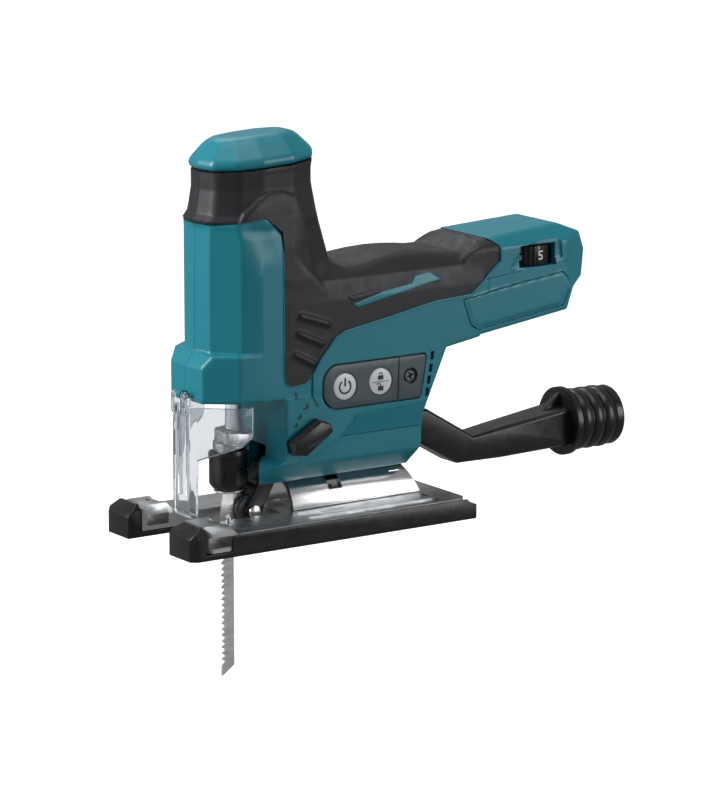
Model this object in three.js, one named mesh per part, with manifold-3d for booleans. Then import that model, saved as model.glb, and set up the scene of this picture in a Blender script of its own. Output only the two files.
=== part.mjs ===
// Cordless barrel-grip jigsaw, in millimetres.
// +Z is up, -Y is the cutting direction, +X is the tool's left side.
// The origin is where the blade's line crosses the underside of the sole, on the plane of symmetry.
import * as THREE from "three";
import { mergeVertices } from "three/addons/utils/BufferGeometryUtils.js";
import Module from "manifold-3d";

const wasm = await Module();
wasm.setup();

// ---- Driving dimensions ----
const GAP = 0.3; // between pieces that touch
const HALF_BODY = 25; // half the width of the body
const WALL = 5; // body wall with the rubber on it
const RUBBER = 2.5; // thickness of the rubber overmould
const REACH = 60; // half width of a cutter that goes right across

const STROKE = 18;
const MODULE = 0.75;
const PINION_TEETH = 8;
const GEAR_TEETH = 48;
const MOTOR_Z = 80.5;
const GEAR_Z = MOTOR_Z + (MODULE * (PINION_TEETH + GEAR_TEETH)) / 2;
const PIN_Z = GEAR_Z - STROKE / 2; // crank pin and yoke, at the bottom of the stroke
const ROD_Y = 1.9;
const ROD_R = 3.8;

const BLADE_FRONT = -5.3;
const BLADE_BACK = 1.4;
const BLADE_THICK = 1.3;
const TOOTH_PITCH = 2.88;
const BLADE_TIP_Z = -67.5;

const CLAMP_Y = -1; // axis of the blade clamp's sleeve
const ROLLER = [8.9, 11]; // (y, z) of the roller's pin
const ROLLER_R = 6.9;
const HOLDER_PIVOT = [19, 29];
const LEVER_PIVOT = [33, 51];

const TILT_Z = 11; // height of the bevel axis, along Y
const ARCH_R = 15;
const PLATE_TOP = 10.5;
const SOLE_TOP = 2.6;
const BASE_HALF = 38.5;
const BASE_REAR = 115;
const PRONG_FRONT = -37;
const TOE_FRONT = -44.5;
const PRONG_INNER = 18;
const THROAT_HALF = 13;
const BOLT_Y = 50;

const GUARD_HINGE = [-26.4, 69.5]; // (y, z)
const PANEL_Y = [35.7, 93.3];
const PANEL_Z = [59, 79.4];
const POWER_BUTTON = [47.1, 69];
const LOCK_BUTTON = [67, 69.2];
const PANEL_SCREW = [84.3, 69.9];
const BUTTON_R = 6;

const DIAL = { x: 13.3, y: 159.2, r: 11, bottom: 115, top: 124 };
const CAP_CENTRE = [12.7, 171.3]; // (y, z) of the middle of the cap's seat
const CAP_TILT = THREE.MathUtils.degToRad(3);
const NOZZLE_Z = 40.4; // duct centre where it enters the body
const NOZZLE_END_Z = 31; // centre of the round end

// Screws through both shells: (y, z)
const HOUSING_SCREWS = [
  [-9, 134],
  [38, 146],
  [98, 93],
  [168, 107],
  [36, 40],
  [74, 40],
];

// ---- Outlines of the body: side views are (y, z), plans (x, y), front views (x, z) ----
const COLUMN = {
  side: [
    [-21, 66.7],
    [-19.4, 90],
    [-18, 147.5],
    [6, 150],
    [14, 143.5],
    [20, 136],
    [40, 115],
    [40, 66.7],
  ],
  plan: mirrored([
    [0, -19.8],
    [10, -18.2],
    [22, -7],
    [HALF_BODY, 6],
    [HALF_BODY, 60],
  ]),
  front: mirrored([
    [HALF_BODY, 60],
    [HALF_BODY, 122],
    [22.5, 142],
    [19, 152],
  ]),
};

const FLARE = {
  side: [
    [-24, 66.7],
    [-24, 82.5],
    [-19.2, 89],
    [30, 89],
    [30, 66.7],
  ],
  plan: mirrored([
    [0, -24.6],
    [13.5, -23.4],
    [24, -9.5],
    [HALF_BODY, 0],
    [HALF_BODY, 60],
  ]),
  front: mirrored([
    [HALF_BODY, 60],
    [HALF_BODY, 100],
  ]),
};

const BODY = {
  side: [
    [15.6, 29],
    [20, 24.8],
    [89.8, 24.8],
    [92, 37],
    [92.6, 51.5],
    [105.6, 81],
    [125, 84],
    [130, 104],
    [130, 130.6],
    [121, 128.4],
    [114, 124.9],
    [101.6, 126],
    [84, 127.4],
    [64.6, 125.2],
    [54, 123.6],
    [40, 130],
    [15.6, 130],
  ],
  plan: mirrored([
    [HALF_BODY, 0],
    [HALF_BODY, 120],
    [24, 140],
  ]),
  front: mirrored([
    [13.8, 24.8],
    [HALF_BODY, 36],
    [HALF_BODY, 112],
    [22.5, 119],
    [17, 125],
    [9, 131],
  ]),
};

const REAR = {
  side: [
    [100, 90],
    [104, 82.3],
    [115.3, 83.2],
    [177, 91.6],
    [182.5, 101.5],
    [190, 106],
    [191.5, 119],
    [187, 127.6],
    [175, 132.8],
    [134, 130.6],
    [120, 124],
    [104, 110],
  ],
  plan: mirrored([
    [24, 90],
    [24, 175],
    [17, 192],
  ]),
  front: mirrored([
    [24, 80],
    [24, 126.5],
    [16, 133],
  ]),
};

// The two knuckles that carry the roller's fork, in front of the body's foot.
const HORN_SIDE = [
  [30, 25.2],
  [30, 46],
  [16.4, 46],
  [6.6, 34.1],
  [-0.4, 31],
  [-0.4, 28.2],
  [3, 25.6],
  [7.3, 25.2],
];

// Side view of what the rubber covers.
const GRIP_SIDE = [
  [14.7, 77.2],
  [15.6, 73.6],
  [18, 71.6],
  [26.1, 72.4],
  [28.9, 74.8],
  [35, 83.8],
  [43.1, 92.5],
  [48, 94.8],
  [70.5, 98.5],
  [97.6, 103.4],
  [119.6, 104.7],
  [126.2, 110],
  [137.3, 119],
  [137.2, 126.3],
  [122.7, 136],
  [90, 190],
  [-30, 190],
  [-30, 148.6],
  [-17.5, 148.4],
  [6, 151],
  [14.3, 144],
  [14.7, 136],
];

// Barrel grip below its cap, and the root of the handle behind the column: radius along Y at each height.
const NECK = {
  y: 12.6,
  profile: [
    [0, 120],
    [31, 120],
    [31.6, 149],
    [30, 154],
    [28.9, 164],
    [29.4, 176],
    [0, 176],
  ],
};
const ROOT = {
  y: 23,
  profile: [
    [0, 110],
    [29.6, 110],
    [28.6, 124],
    [25.6, 140],
    [22.4, 160],
    [18, 176],
    [0, 176],
  ],
};
const NECK_WIDTH = 0.7; // width of the neck over its length

const BATTERY_SLOPE = Math.atan2(91.6 - 83.2, 177 - 115.3);

// ---- Outline helpers ----
function mirrored(half) {
  const other = half.filter(([x]) => x > 0).map(([x, y]) => [-x, y]);
  return [...half, ...other.reverse()];
}

function circle(radius, [u, v] = [0, 0], sides = 20) {
  return arc(radius, [u, v], 0, 360, sides).slice(0, sides);
}

// Points on an arc, both ends included, with angles in degrees.
function arc(radius, [u, v], from, to, steps) {
  const points = [];
  for (let i = 0; i <= steps; i++) {
    const angle = THREE.MathUtils.degToRad(from + ((to - from) * i) / steps);
    points.push([u + radius * Math.cos(angle), v + radius * Math.sin(angle)]);
  }
  return points;
}

function rectangle(u0, u1, v0, v1) {
  return [
    [u0, v0],
    [u1, v0],
    [u1, v1],
    [u0, v1],
  ];
}

// A stadium round two centres.
function capsule([u0, v0], [u1, v1], radius, steps = 6) {
  const along = THREE.MathUtils.radToDeg(Math.atan2(v1 - v0, u1 - u0));
  return [
    ...arc(radius, [u1, v1], along - 90, along + 90, steps),
    ...arc(radius, [u0, v0], along + 90, along + 270, steps),
  ];
}

// The outline moved inwards by a distance, with its corners kept sharp.
function inset(outline, distance) {
  const turn = Math.sign(THREE.ShapeUtils.area(outline.map(([x, y]) => ({ x, y }))));
  return outline.map((point, i) => {
    const before = outline.at(i - 1);
    const after = outline[(i + 1) % outline.length];
    const a = unit(point[0] - before[0], point[1] - before[1]);
    const b = unit(after[0] - point[0], after[1] - point[1]);
    const scale = (distance * turn) / (1 + a[0] * b[0] + a[1] * b[1]);
    return [point[0] - (a[1] + b[1]) * scale, point[1] + (a[0] + b[0]) * scale];
  });
}

function unit(x, y) {
  const length = Math.hypot(x, y);
  return [x / length, y / length];
}

// ---- Solids ----
const AXES = {
  x: basis([0, 1, 0], [0, 0, 1], [1, 0, 0]),
  y: basis([1, 0, 0], [0, 0, 1], [0, -1, 0]),
  z: basis([1, 0, 0], [0, 1, 0], [0, 0, 1]),
};

function basis(...columns) {
  return new THREE.Matrix4().makeBasis(...columns.map((c) => new THREE.Vector3(...c)));
}

function solidOf(geometry) {
  geometry.deleteAttribute("normal");
  geometry.deleteAttribute("uv");
  const merged = mergeVertices(geometry, 1e-4);
  const index = merged.index.array;
  const triVerts = [];
  for (let i = 0; i < index.length; i += 3) {
    const [a, b, c] = index.slice(i, i + 3);
    if (a !== b && b !== c && c !== a) triVerts.push(a, b, c);
  }
  return new wasm.Manifold(
    new wasm.Mesh({
      numProp: 3,
      vertProperties: merged.attributes.position.array,
      triVerts: new Uint32Array(triVerts),
    }),
  );
}

// An outline extruded along an axis. Along x it is read as (y, z), along y as (x, z), along z as (x, y).
function prism(axis, outline, from, to, holes = []) {
  const path = (points) => points.map(([u, v]) => new THREE.Vector2(u, v));
  const shape = new THREE.Shape(path(outline));
  shape.holes = holes.map((hole) => new THREE.Path(path(hole)));
  const geometry = new THREE.ExtrudeGeometry(shape, { depth: to - from, bevelEnabled: false });
  geometry.translate(0, 0, axis === "y" ? -to : from);
  return solidOf(geometry.applyMatrix4(AXES[axis]));
}

function cylinder(axis, radius, from, to, centre = [0, 0], sides = 20) {
  return prism(axis, circle(radius, centre, sides), from, to);
}

function ring(axis, outer, inner, from, to, centre = [0, 0], sides = 20) {
  return prism(axis, circle(outer, centre, sides), from, to, [circle(inner, centre, sides)]);
}

function block([x0, x1], [y0, y1], [z0, z1]) {
  return prism("z", rectangle(x0, x1, y0, y1), z0, z1);
}

// A profile of (radius, z) turned about Z.
function turned(profile, sides = 24) {
  const points = profile.map(([r, z]) => new THREE.Vector2(r, z));
  return solidOf(new THREE.LatheGeometry(points, sides).rotateX(Math.PI / 2));
}

function join(first, ...others) {
  return others.reduce((sum, solid) => sum.add(solid), first);
}

function cut(first, ...others) {
  return others.reduce((rest, solid) => rest.subtract(solid), first);
}

function acrossBoth(solid) {
  return solid.add(solid.mirror([1, 0, 0]));
}

function geometryOf(solid) {
  const mesh = solid.getMesh();
  const geometry = new THREE.BufferGeometry();
  geometry.setAttribute("position", new THREE.BufferAttribute(mesh.vertProperties, 3));
  geometry.setIndex(new THREE.BufferAttribute(mesh.triVerts, 1));
  const flat = geometry.toNonIndexed();
  flat.computeVertexNormals();
  return flat;
}

// ---- Materials ----
function finish(color, roughness, metalness = 0, extra = {}) {
  return new THREE.MeshStandardMaterial({ color, roughness, metalness, ...extra });
}

const TEAL = finish(0x14707f, 0.5);
const RUBBER_BLACK = finish(0x1a1b1d, 0.85);
const BLACK_PLASTIC = finish(0x16181a, 0.55);
const GREY_PLASTIC = finish(0x3b3d42, 0.6);
const PALE_PLASTIC = finish(0xc9ccd0, 0.5);
const STEEL = finish(0xa9adb2, 0.35, 1);
const DARK_STEEL = finish(0x4a4d52, 0.45, 1);
const CAST_ALUMINIUM = finish(0xb4b7ba, 0.5, 1);
const POLISHED_METAL = finish(0xd6d8da, 0.2, 1);
const BRONZE = finish(0x9a7442, 0.4, 1);
const COPPER = finish(0xb06a3a, 0.4, 1);
const BOARD_GREEN = finish(0x1e5a3a, 0.6);
const CLEAR = finish(0xdfe6ea, 0.1, 0, { transparent: true, opacity: 0.35 });

// ---- Scene graph: one group for each piece or set of pieces that moves as one ----
const jigsaw = new THREE.Group();

function movingGroup() {
  const group = new THREE.Group();
  jigsaw.add(group);
  return group;
}

function place(group, name, solid, material, [x, y, z] = [0, 0, 0]) {
  const mesh = new THREE.Mesh(geometryOf(solid), material);
  mesh.name = name;
  mesh.position.set(x, y, z);
  group.add(mesh);
}

// ---- Body ----
function lump({ side, plan, front }, depth) {
  return prism("x", inset(side, depth), -REACH, REACH)
    .intersect(prism("z", inset(plan, depth), 0, 200))
    .intersect(prism("y", inset(front, depth), -REACH, 200));
}

function neck({ y, profile }, depth) {
  const smaller = profile.map(([r, z]) => [Math.max(r - depth, 0), z]);
  return turned(smaller, 32)
    .scale([NECK_WIDTH * (1 - depth / 100), 1, 1])
    .translate([0, y, 0]);
}

// Everything above the seat of the cap, which slopes up to the rear.
function aboveCapSeat(lift) {
  return block([-REACH, REACH], [-REACH, 2 * REACH], [lift, 100])
    .rotate([THREE.MathUtils.radToDeg(CAP_TILT), 0, 0])
    .translate([0, CAP_CENTRE[0], CAP_CENTRE[1]]);
}

// The body's outer shape moved inwards by a depth, ending at the cap's seat.
function envelope(depth, roof = 0) {
  const lumps = [COLUMN, FLARE, BODY, REAR].map((shape) => lump(shape, depth));
  return cut(join(neck(NECK, depth), neck(ROOT, depth), ...lumps), aboveCapSeat(-roof));
}

// A prism across the battery's slide, which slopes up to the rear under the rear block.
function batterySlide(halfWidth, low, high, front) {
  const along = 70;
  return block([-halfWidth, halfWidth], [front, along], [low, high])
    .rotate([THREE.MathUtils.radToDeg(BATTERY_SLOPE), 0, 0])
    .translate([0, 115.3, 83.2]);
}

function nozzlePocket(grow) {
  const half = 8.7 + grow;
  return block([-half, half], [84 - grow, 112], [NOZZLE_Z - half, NOZZLE_Z + half]);
}

function cavity() {
  return cut(
    envelope(WALL, WALL),
    batterySlide(18 + 3, -10, 6.4 + 2.4, 0),
    nozzlePocket(3),
  );
}

// Cross walls that hold the motor by its stator and by its rear bearing.
function motorRibs() {
  const across = (y0, y1, z0, z1) => block([-24, 24], [y0, y1], [z0, z1]);
  const statorRibs = [44, 62].map((y) => across(y, y + 2.5, 57, 104));
  const bearingRib = cut(across(84, 88, 73.5, 95), cylinder("y", 6.8, 80, 90, [0, MOTOR_Z]));
  const hollow = join(
    cylinder("y", 17.9, 40, 70, [0, MOTOR_Z]),
    block([15.5, 30], [36, 82], [59.5, 79]),
  );
  return cut(join(...statorRibs), hollow).add(bearingRib).intersect(envelope(WALL - 1, WALL));
}

function screwBosses() {
  const posts = HOUSING_SCREWS.map((centre) => cylinder("x", 4, -30, 30, centre, 16));
  return join(...posts).intersect(envelope(WALL - 1, WALL));
}

function screwHoles() {
  const holes = HOUSING_SCREWS.flatMap((centre) => [
    cylinder("x", 1.9, -30, 13.3, centre, 16),
    cylinder("x", 3.8, -30, -13.7, centre, 16),
  ]);
  return join(...holes);
}

// Cuts for the parts that show outside the body.
function bodyOpenings() {
  const saddle = cylinder("y", ARCH_R + GAP, 5, 120, [0, TILT_Z], 32);
  const clampWell = cylinder("z", 10.3, 60, 72, [0, ROD_Y]);
  const forkSlots = join(
    block([-10.4, 10.4], [-6, 12], [15, 42]),
    block([-7.2, 7.2], [8, 27], [15, 42]),
    cylinder("x", 2.3, -12.4, 12.4, HOLDER_PIVOT, 16),
  );
  const boltHole = cylinder("z", 3.3, 20, 38, [0, BOLT_Y], 16);
  const panelPocket = prism("x", switchPanelOutline(-GAP), 22.2, 40);
  const panelHoles = join(
    cylinder("x", BUTTON_R + 0.5, 15, 24, POWER_BUTTON),
    cylinder("x", BUTTON_R + 0.5, 15, 24, LOCK_BUTTON),
    cylinder("x", 1.8, 15, 24, PANEL_SCREW, 16),
  );
  const leverHole = cylinder("x", 3.3, 15, 30, LEVER_PIVOT, 16);
  const dialWindow = block([17, 30], [148.6, 169.8], [DIAL.bottom - 0.8, DIAL.top + 0.8]);
  const lampHole = cylinder("z", 2.9, 60, 75, [13, -6], 16);
  const battery = join(batterySlide(15, -10, 6.4, 3), batterySlide(18, 2.2, 6.4, 3));
  return [
    saddle,
    clampWell,
    forkSlots,
    boltHole,
    panelPocket,
    panelHoles,
    leverHole,
    dialWindow,
    lampHole,
    battery,
    nozzlePocket(0),
    screwHoles(),
  ];
}

// Lugs in front of the head that hold the guard's pin.
function guardLug() {
  const [y, z] = GUARD_HINGE;
  const lug = prism("x", capsule([y, z], [y + 3, z], 1.9), -1.6, 1.6);
  return cut(lug, cylinder("x", 1.05, -5, 5, GUARD_HINGE, 12));
}

function horns() {
  const sides = prism("y", BODY.front, -10, 40);
  return prism("x", HORN_SIDE, -HALF_BODY, HALF_BODY).intersect(sides);
}

function half(solid, side) {
  const inner = GAP / 2;
  const range = side === "left" ? [inner, REACH] : [-REACH, -inner];
  return solid.intersect(block(range, [-80, 260], [-80, 260]));
}

function makeBody() {
  const body = movingGroup();
  const rubberArea = prism("x", GRIP_SIDE, -REACH, REACH);
  const outside = join(cut(envelope(0), rubberArea), envelope(RUBBER), horns(), guardLug());
  const shell = cut(outside, cavity()).add(motorRibs()).add(screwBosses());
  const housing = cut(shell, ...bodyOpenings());

  const rubber = prism("x", inset(GRIP_SIDE, GAP), -REACH, REACH);
  const skin = cut(envelope(0).intersect(rubber), envelope(RUBBER - GAP, -5), screwHoles());

  for (const side of ["left", "right"]) {
    place(body, "housing_" + side, half(housing, side), TEAL);
    place(body, "grip_" + side, half(skin, side), RUBBER_BLACK);
  }
  place(body, "knob_cap", knobCap(), TEAL);
  place(body, "switch_panel", switchPanel(), GREY_PLASTIC);
  place(body, "panel_screw", screwAlongX(3, 1.4, 24.6, 16.5, 1.3), DARK_STEEL, [0, ...PANEL_SCREW]);
  HOUSING_SCREWS.forEach((centre, i) => {
    const screw = screwAlongX(3.3, 1.5, -16.4, 13);
    place(body, "housing_screw_" + (i + 1), screw, DARK_STEEL, [0, ...centre]);
  });
  place(body, "led_lens", ring("z", 2.6, 1.2, 66.2, 71, [13, -6], 16), CLEAR);
  place(body, "guard_pin", cylinder("x", 0.8, -6.6, 6.6, GUARD_HINGE, 12), STEEL);
  place(body, "holder_pivot", cylinder("x", 2, -12, 12, HOLDER_PIVOT, 20), STEEL);
  makeMotorAndGearCase(body);
  makeElectronics(body);
  makeBaseClamp(body);
}

// A dome over the barrel grip, hollow below.
function knobCap() {
  const outer = [
    [0, 0.3],
    [29.6, 0.3],
    [30.7, 1.6],
    [30.8, 4],
    [29.4, 8.4],
    [25.6, 12.4],
    [18.6, 15.4],
    [9, 16.4],
    [0, 16.6],
  ];
  const inner = [
    [0, -1],
    [27.4, -1],
    [27.4, 5],
    [21, 10.6],
    [8, 13.2],
    [0, 13.4],
  ];
  const shape = (profile) => turned(profile, 32).scale([0.75, 1, 1]);
  return cut(shape(outer), shape(inner))
    .rotate([THREE.MathUtils.radToDeg(CAP_TILT), 0, 0])
    .translate([0, CAP_CENTRE[0], CAP_CENTRE[1]]);
}

// Round at its front end, with a sloping rear end.
function switchPanelOutline(depth = 0) {
  const [y0, y1] = PANEL_Y;
  const [z0, z1] = PANEL_Z;
  const r = 5;
  const corner = (y, z, from) => arc(r, [y, z], from, from + 90, 5);
  const outline = [
    ...corner(y0 + r, z0 + r, 180),
    [y1 - 3, z0],
    [y1, z1],
    ...corner(y0 + r, z1 - r, 90),
  ];
  return depth ? inset(outline, depth) : outline;
}

function switchPanel() {
  return cut(
    prism("x", switchPanelOutline(), 22.5, 25.2),
    cylinder("x", BUTTON_R + GAP, 20, 30, POWER_BUTTON),
    cylinder("x", BUTTON_R + GAP, 20, 30, LOCK_BUTTON),
    cylinder("x", 3.5, 23, 30, PANEL_SCREW, 20),
    cylinder("x", 1.7, 20, 30, PANEL_SCREW, 16),
  );
}

// A screw on its own axis: the head ends at one x, and the point at the other.
function screwAlongX(headR, shankR, headX, pointX, headLength = 2.2) {
  const inward = Math.sign(pointX - headX);
  const headEnd = headX + inward * headLength;
  const span = (a, b) => [Math.min(a, b), Math.max(a, b)];
  const head = cylinder("x", headR, ...span(headX, headEnd), [0, 0], 16);
  const shank = cylinder("x", shankR, ...span(headEnd, pointX), [0, 0], 12);
  const socket = cylinder("x", 1.3, ...span(headX - inward, headX + inward * 1.2), [0, 0], 6);
  return cut(head.add(shank), socket);
}

// ---- Motor, gears and plunger drive ----
// A spur gear about Z with straight-flanked teeth, one tooth centred on +X.
function gearOutline(teeth) {
  const pitchR = (MODULE * teeth) / 2;
  const pitchAngle = 360 / teeth;
  const polar = (r, a) => arc(r, [0, 0], a, a, 1)[0];
  const points = [];
  for (let i = 0; i < teeth; i++) {
    const a = i * pitchAngle;
    points.push(polar(pitchR - 1.2 * MODULE, a - 0.29 * pitchAngle));
    points.push(polar(pitchR + 0.9 * MODULE, a - 0.1 * pitchAngle));
    points.push(polar(pitchR + 0.9 * MODULE, a + 0.1 * pitchAngle));
    points.push(polar(pitchR - 1.2 * MODULE, a + 0.29 * pitchAngle));
  }
  return points;
}

function makeMotorAndGearCase(body) {
  const stator = statorSolid();
  place(body, "stator", stator, COPPER, [0, 0, MOTOR_Z]);
  place(body, "bearing_front", ring("y", 6.5, 2.6, 20.7, 25.2), STEEL, [0, 0, MOTOR_Z]);
  place(body, "bearing_rear", ring("y", 6.5, 2.6, 83.6, 88.4), STEEL, [0, 0, MOTOR_Z]);
  place(body, "gear_axle", cylinder("y", 3, 11.4, 24.6), STEEL, [0, 0, GEAR_Z]);
  place(body, "gear_case", gearCase(), CAST_ALUMINIUM);
  place(body, "lower_bush", ring("z", 6.3, ROD_R + 0.25, 70.6, 76.2), BRONZE, [0, ROD_Y, 0]);
  place(body, "upper_bush", ring("z", 6.3, ROD_R + 0.25, 124, 129), BRONZE, [0, ROD_Y, 0]);

  const motor = movingGroup();
  motor.position.z = MOTOR_Z;
  place(motor, "rotor", ring("y", 9.9, 2.5, 43, 67), DARK_STEEL);
  place(motor, "motor_shaft", cylinder("y", 2.2, 20, 90), STEEL);
  place(motor, "fan", fan(), BLACK_PLASTIC);
  place(motor, "pinion", prism("y", gearOutline(PINION_TEETH), 13.6, 19.7), STEEL);

  const crank = movingGroup();
  crank.position.z = GEAR_Z;
  const halfTooth = 180 / GEAR_TEETH;
  const disc = prism("y", gearOutline(GEAR_TEETH), 14, 19).rotate([0, halfTooth, 0]);
  place(crank, "crank_gear", cut(disc, cylinder("y", 3.3, 10, 22)), DARK_STEEL);
  place(crank, "crank_pin", cylinder("y", 3, 10.8, 13.7), STEEL, [0, 0, -STROKE / 2]);
  const sector = [...arc(16.5, [0, 0], 25, 155, 14), ...arc(7, [0, 0], 155, 25, 8)];
  place(crank, "balance_weight", prism("y", sector, 11.6, 13.7), STEEL);
}

// A laminated ring with six wound teeth pointing inwards.
function statorSolid() {
  const teeth = 6;
  const slots = [];
  for (let i = 0; i < teeth; i++) {
    const middle = (360 / teeth) * (i + 0.5);
    slots.push([
      ...arc(15, [0, 0], middle - 20, middle + 20, 4),
      ...arc(11.6, [0, 0], middle + 14, middle - 14, 3),
    ]);
  }
  const laminations = prism("y", circle(17.5, [0, 0], 30), 42, 68, [circle(10.3, [0, 0], 24)]);
  return cut(laminations, ...slots.map((slot) => prism("y", slot, 36, 74)));
}

function fan() {
  const vanes = 9;
  const plate = cylinder("y", 15.5, 79.6, 80.8);
  const hub = cylinder("y", 5, 72.6, 80.2);
  const vane = prism("z", rectangle(4, 15, 73, 80.2), -0.6, 0.6);
  const all = Array.from({ length: vanes }, (_, i) => vane.rotate([0, (i * 360) / vanes, 0]));
  return cut(join(plate, hub, ...all), cylinder("y", 2.5, 70, 84));
}

// A rear wall with an arm above and below the gear, each with a seat for a bush.
function gearCase() {
  const wallFront = mirrored([
    [17.5, 72.3],
    [17.5, 114],
    [12, 129],
  ]);
  const wall = prism("y", wallFront, 20.6, 24.2);
  const arm = (z0, z1) => block([-9, 9], [-5.4, 22], [z0, z1]);
  return cut(
    join(wall, arm(72.3, 76.1), arm(124.2, 129)),
    cylinder("z", 6.6, 60, 140, [0, ROD_Y]),
    cylinder("y", 6.8, 10, 30, [0, MOTOR_Z]),
    cylinder("y", 3.3, 10, 30, [0, GEAR_Z], 20),
    block([-4.6, 4.6], [12.8, 20.4], [70, MOTOR_Z]),
  );
}

function makePlunger() {
  const plunger = movingGroup();
  place(plunger, "plunger_rod", cylinder("z", ROD_R, 49.8, 130.5), STEEL, [0, ROD_Y, 0]);
  place(plunger, "yoke", yoke(), DARK_STEEL, [0, 0, PIN_Z]);
  place(plunger, "blade_clamp", bladeClamp(), STEEL, [0, CLAMP_Y, 0]);
  place(plunger, "clamp_spring", clampSpring(), STEEL, [0, CLAMP_Y, 0]);
  place(plunger, "clamp_ring", ring("z", 6.9, 5.6, 20.9, 22.2), POLISHED_METAL, [0, CLAMP_Y, 0]);
  place(plunger, "blade", blade(), STEEL);

  const sleeve = movingGroup();
  const wall = turned([
    [5.7, 22.5],
    [7.4, 22.5],
    [9, 24.2],
    [9, 41],
    [7.6, 41],
    [7.6, 24.8],
    [5.7, 24.8],
    [5.7, 22.5],
  ]);
  place(sleeve, "clamp_sleeve", wall, BLACK_PLASTIC, [0, CLAMP_Y, 0]);
}

// A block round the rod, with a channel across its back that the crank pin drives.
function yoke() {
  const front = block([-6.6, 6.6], [-3.2, 7], [-6, 6]);
  const bar = block([-14.5, 14.5], [6, 10.4], [-6, 6]);
  const channel = block([-12.6, 12.6], [7.4, 12], [-3.3, 3.3]);
  const rodHole = cylinder("z", ROD_R + GAP, -10, 10, [0, ROD_Y]);
  return cut(front.add(bar), channel, rodHole);
}

function bladeClamp() {
  const stem = cylinder("z", 5, 29.5, 42);
  const collar = cylinder("z", 6.8, 41.4, 45);
  const head = prism("z", rectangle(-5.5, 5.5, -4.4, 9), 41.4, 49.5);
  const bladeSlot = block([-0.95, 0.95], [-8, 8], [20, 39]);
  return cut(join(stem, collar, head), bladeSlot);
}

function clampSpring() {
  const turns = 3;
  const stepsPerTurn = 10;
  const points = [];
  for (let i = 0; i <= turns * stepsPerTurn; i++) {
    const angle = (i / stepsPerTurn) * 2 * Math.PI;
    const z = 30.5 + (8.5 * i) / (turns * stepsPerTurn);
    points.push(new THREE.Vector3(6.2 * Math.cos(angle), 6.2 * Math.sin(angle), z));
  }
  const wire = new THREE.Shape(circle(0.6, [0, 0], 4).map(([u, v]) => new THREE.Vector2(u, v)));
  const extrudePath = new THREE.CatmullRomCurve3(points);
  return solidOf(
    new THREE.ExtrudeGeometry(wire, { steps: turns * stepsPerTurn, bevelEnabled: false, extrudePath }),
  );
}

// Teeth point up and forward, and the tip is cut off at a slant.
function blade() {
  const outline = [
    [BLADE_BACK, -62.8],
    [BLADE_BACK, 24],
    [BLADE_BACK - 0.4, 28],
    [BLADE_BACK, 29],
    [BLADE_BACK, 32.5],
    [0.6, 33],
    [0.6, 38],
    [-3, 38],
    [-3, 33],
    [-5.4, 32.5],
    [-5.4, 29],
    [-3.8, 28],
    [-4.4, 20],
    [BLADE_FRONT, 13],
    [BLADE_FRONT, 8],
  ];
  for (let z = 6.5; z > BLADE_TIP_Z + 2 * TOOTH_PITCH; z -= TOOTH_PITCH) {
    outline.push([BLADE_FRONT + 1.7, z - 0.6], [BLADE_FRONT, z - TOOTH_PITCH + 0.2]);
  }
  outline.push([BLADE_FRONT, BLADE_TIP_Z]);
  return prism("x", outline, -BLADE_THICK / 2, BLADE_THICK / 2);
}

// ---- Roller that backs the blade ----
function makeRoller() {
  const holder = movingGroup();
  const arms = join(
    prism("x", capsule(ROLLER, HOLDER_PIVOT, 4.2), 4.2, 6.4),
    prism("x", capsule(ROLLER, HOLDER_PIVOT, 4.2), -6.4, -4.2),
    prism("x", capsule([16, 24], HOLDER_PIVOT, 4.2), -5, 5),
  );
  const fork = cut(
    arms,
    cylinder("x", 2.3, -10, 10, HOLDER_PIVOT, 16),
    cylinder("x", 2.3, -10, 10, ROLLER, 16),
  );
  place(holder, "roller_holder", fork, GREY_PLASTIC);
  const pin = join(
    cylinder("x", 2, -7.6, 7),
    cylinder("x", 3.1, 6.7, 8.2),
    cylinder("x", 3.1, -8.2, -6.7),
  );
  place(holder, "roller_pin", pin, POLISHED_METAL, [0, ...ROLLER]);

  const wheel = movingGroup();
  wheel.position.set(0, ...ROLLER);
  const groove = turned([
    [2.4, -3.9],
    [ROLLER_R - 1, -3.9],
    [ROLLER_R, -3.2],
    [ROLLER_R, -1.4],
    [6.2, -1.1],
    [6.2, 1.1],
    [ROLLER_R, 1.4],
    [ROLLER_R, 3.2],
    [ROLLER_R - 1, 3.9],
    [2.4, 3.9],
    [2.4, -3.9],
  ]);
  place(wheel, "roller", groove.rotate([0, 90, 0]), GREY_PLASTIC);
}

// ---- Controls ----
function makeControls() {
  const lever = movingGroup();
  const outline = [
    [14.4, 46],
    [16.4, 41.5],
    [25.2, 39.6],
    [38.3, 49.9],
    [36, 54.6],
    [31, 56.3],
  ];
  place(lever, "orbital_lever", prism("x", outline, HALF_BODY + 0.4, 31), BLACK_PLASTIC);
  const shaft = cylinder("x", 3, 4, HALF_BODY + 0.1, LEVER_PIVOT, 20);
  const cam = cylinder("x", 4.4, 4, 9, [LEVER_PIVOT[0] - 1.4, LEVER_PIVOT[1]], 20);
  place(lever, "lever_shaft", shaft.add(cam), STEEL);

  const dial = movingGroup();
  dial.position.set(DIAL.x, DIAL.y, 0);
  place(dial, "speed_dial", speedDial(), BLACK_PLASTIC);

  const buttons = { power_button: POWER_BUTTON, lock_button: LOCK_BUTTON };
  for (const [name, centre] of Object.entries(buttons)) {
    const cap = cylinder("x", BUTTON_R, 20.2, 25.6, centre);
    place(movingGroup(), name, cap, name === "power_button" ? PALE_PLASTIC : GREY_PLASTIC);
  }
}

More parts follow.
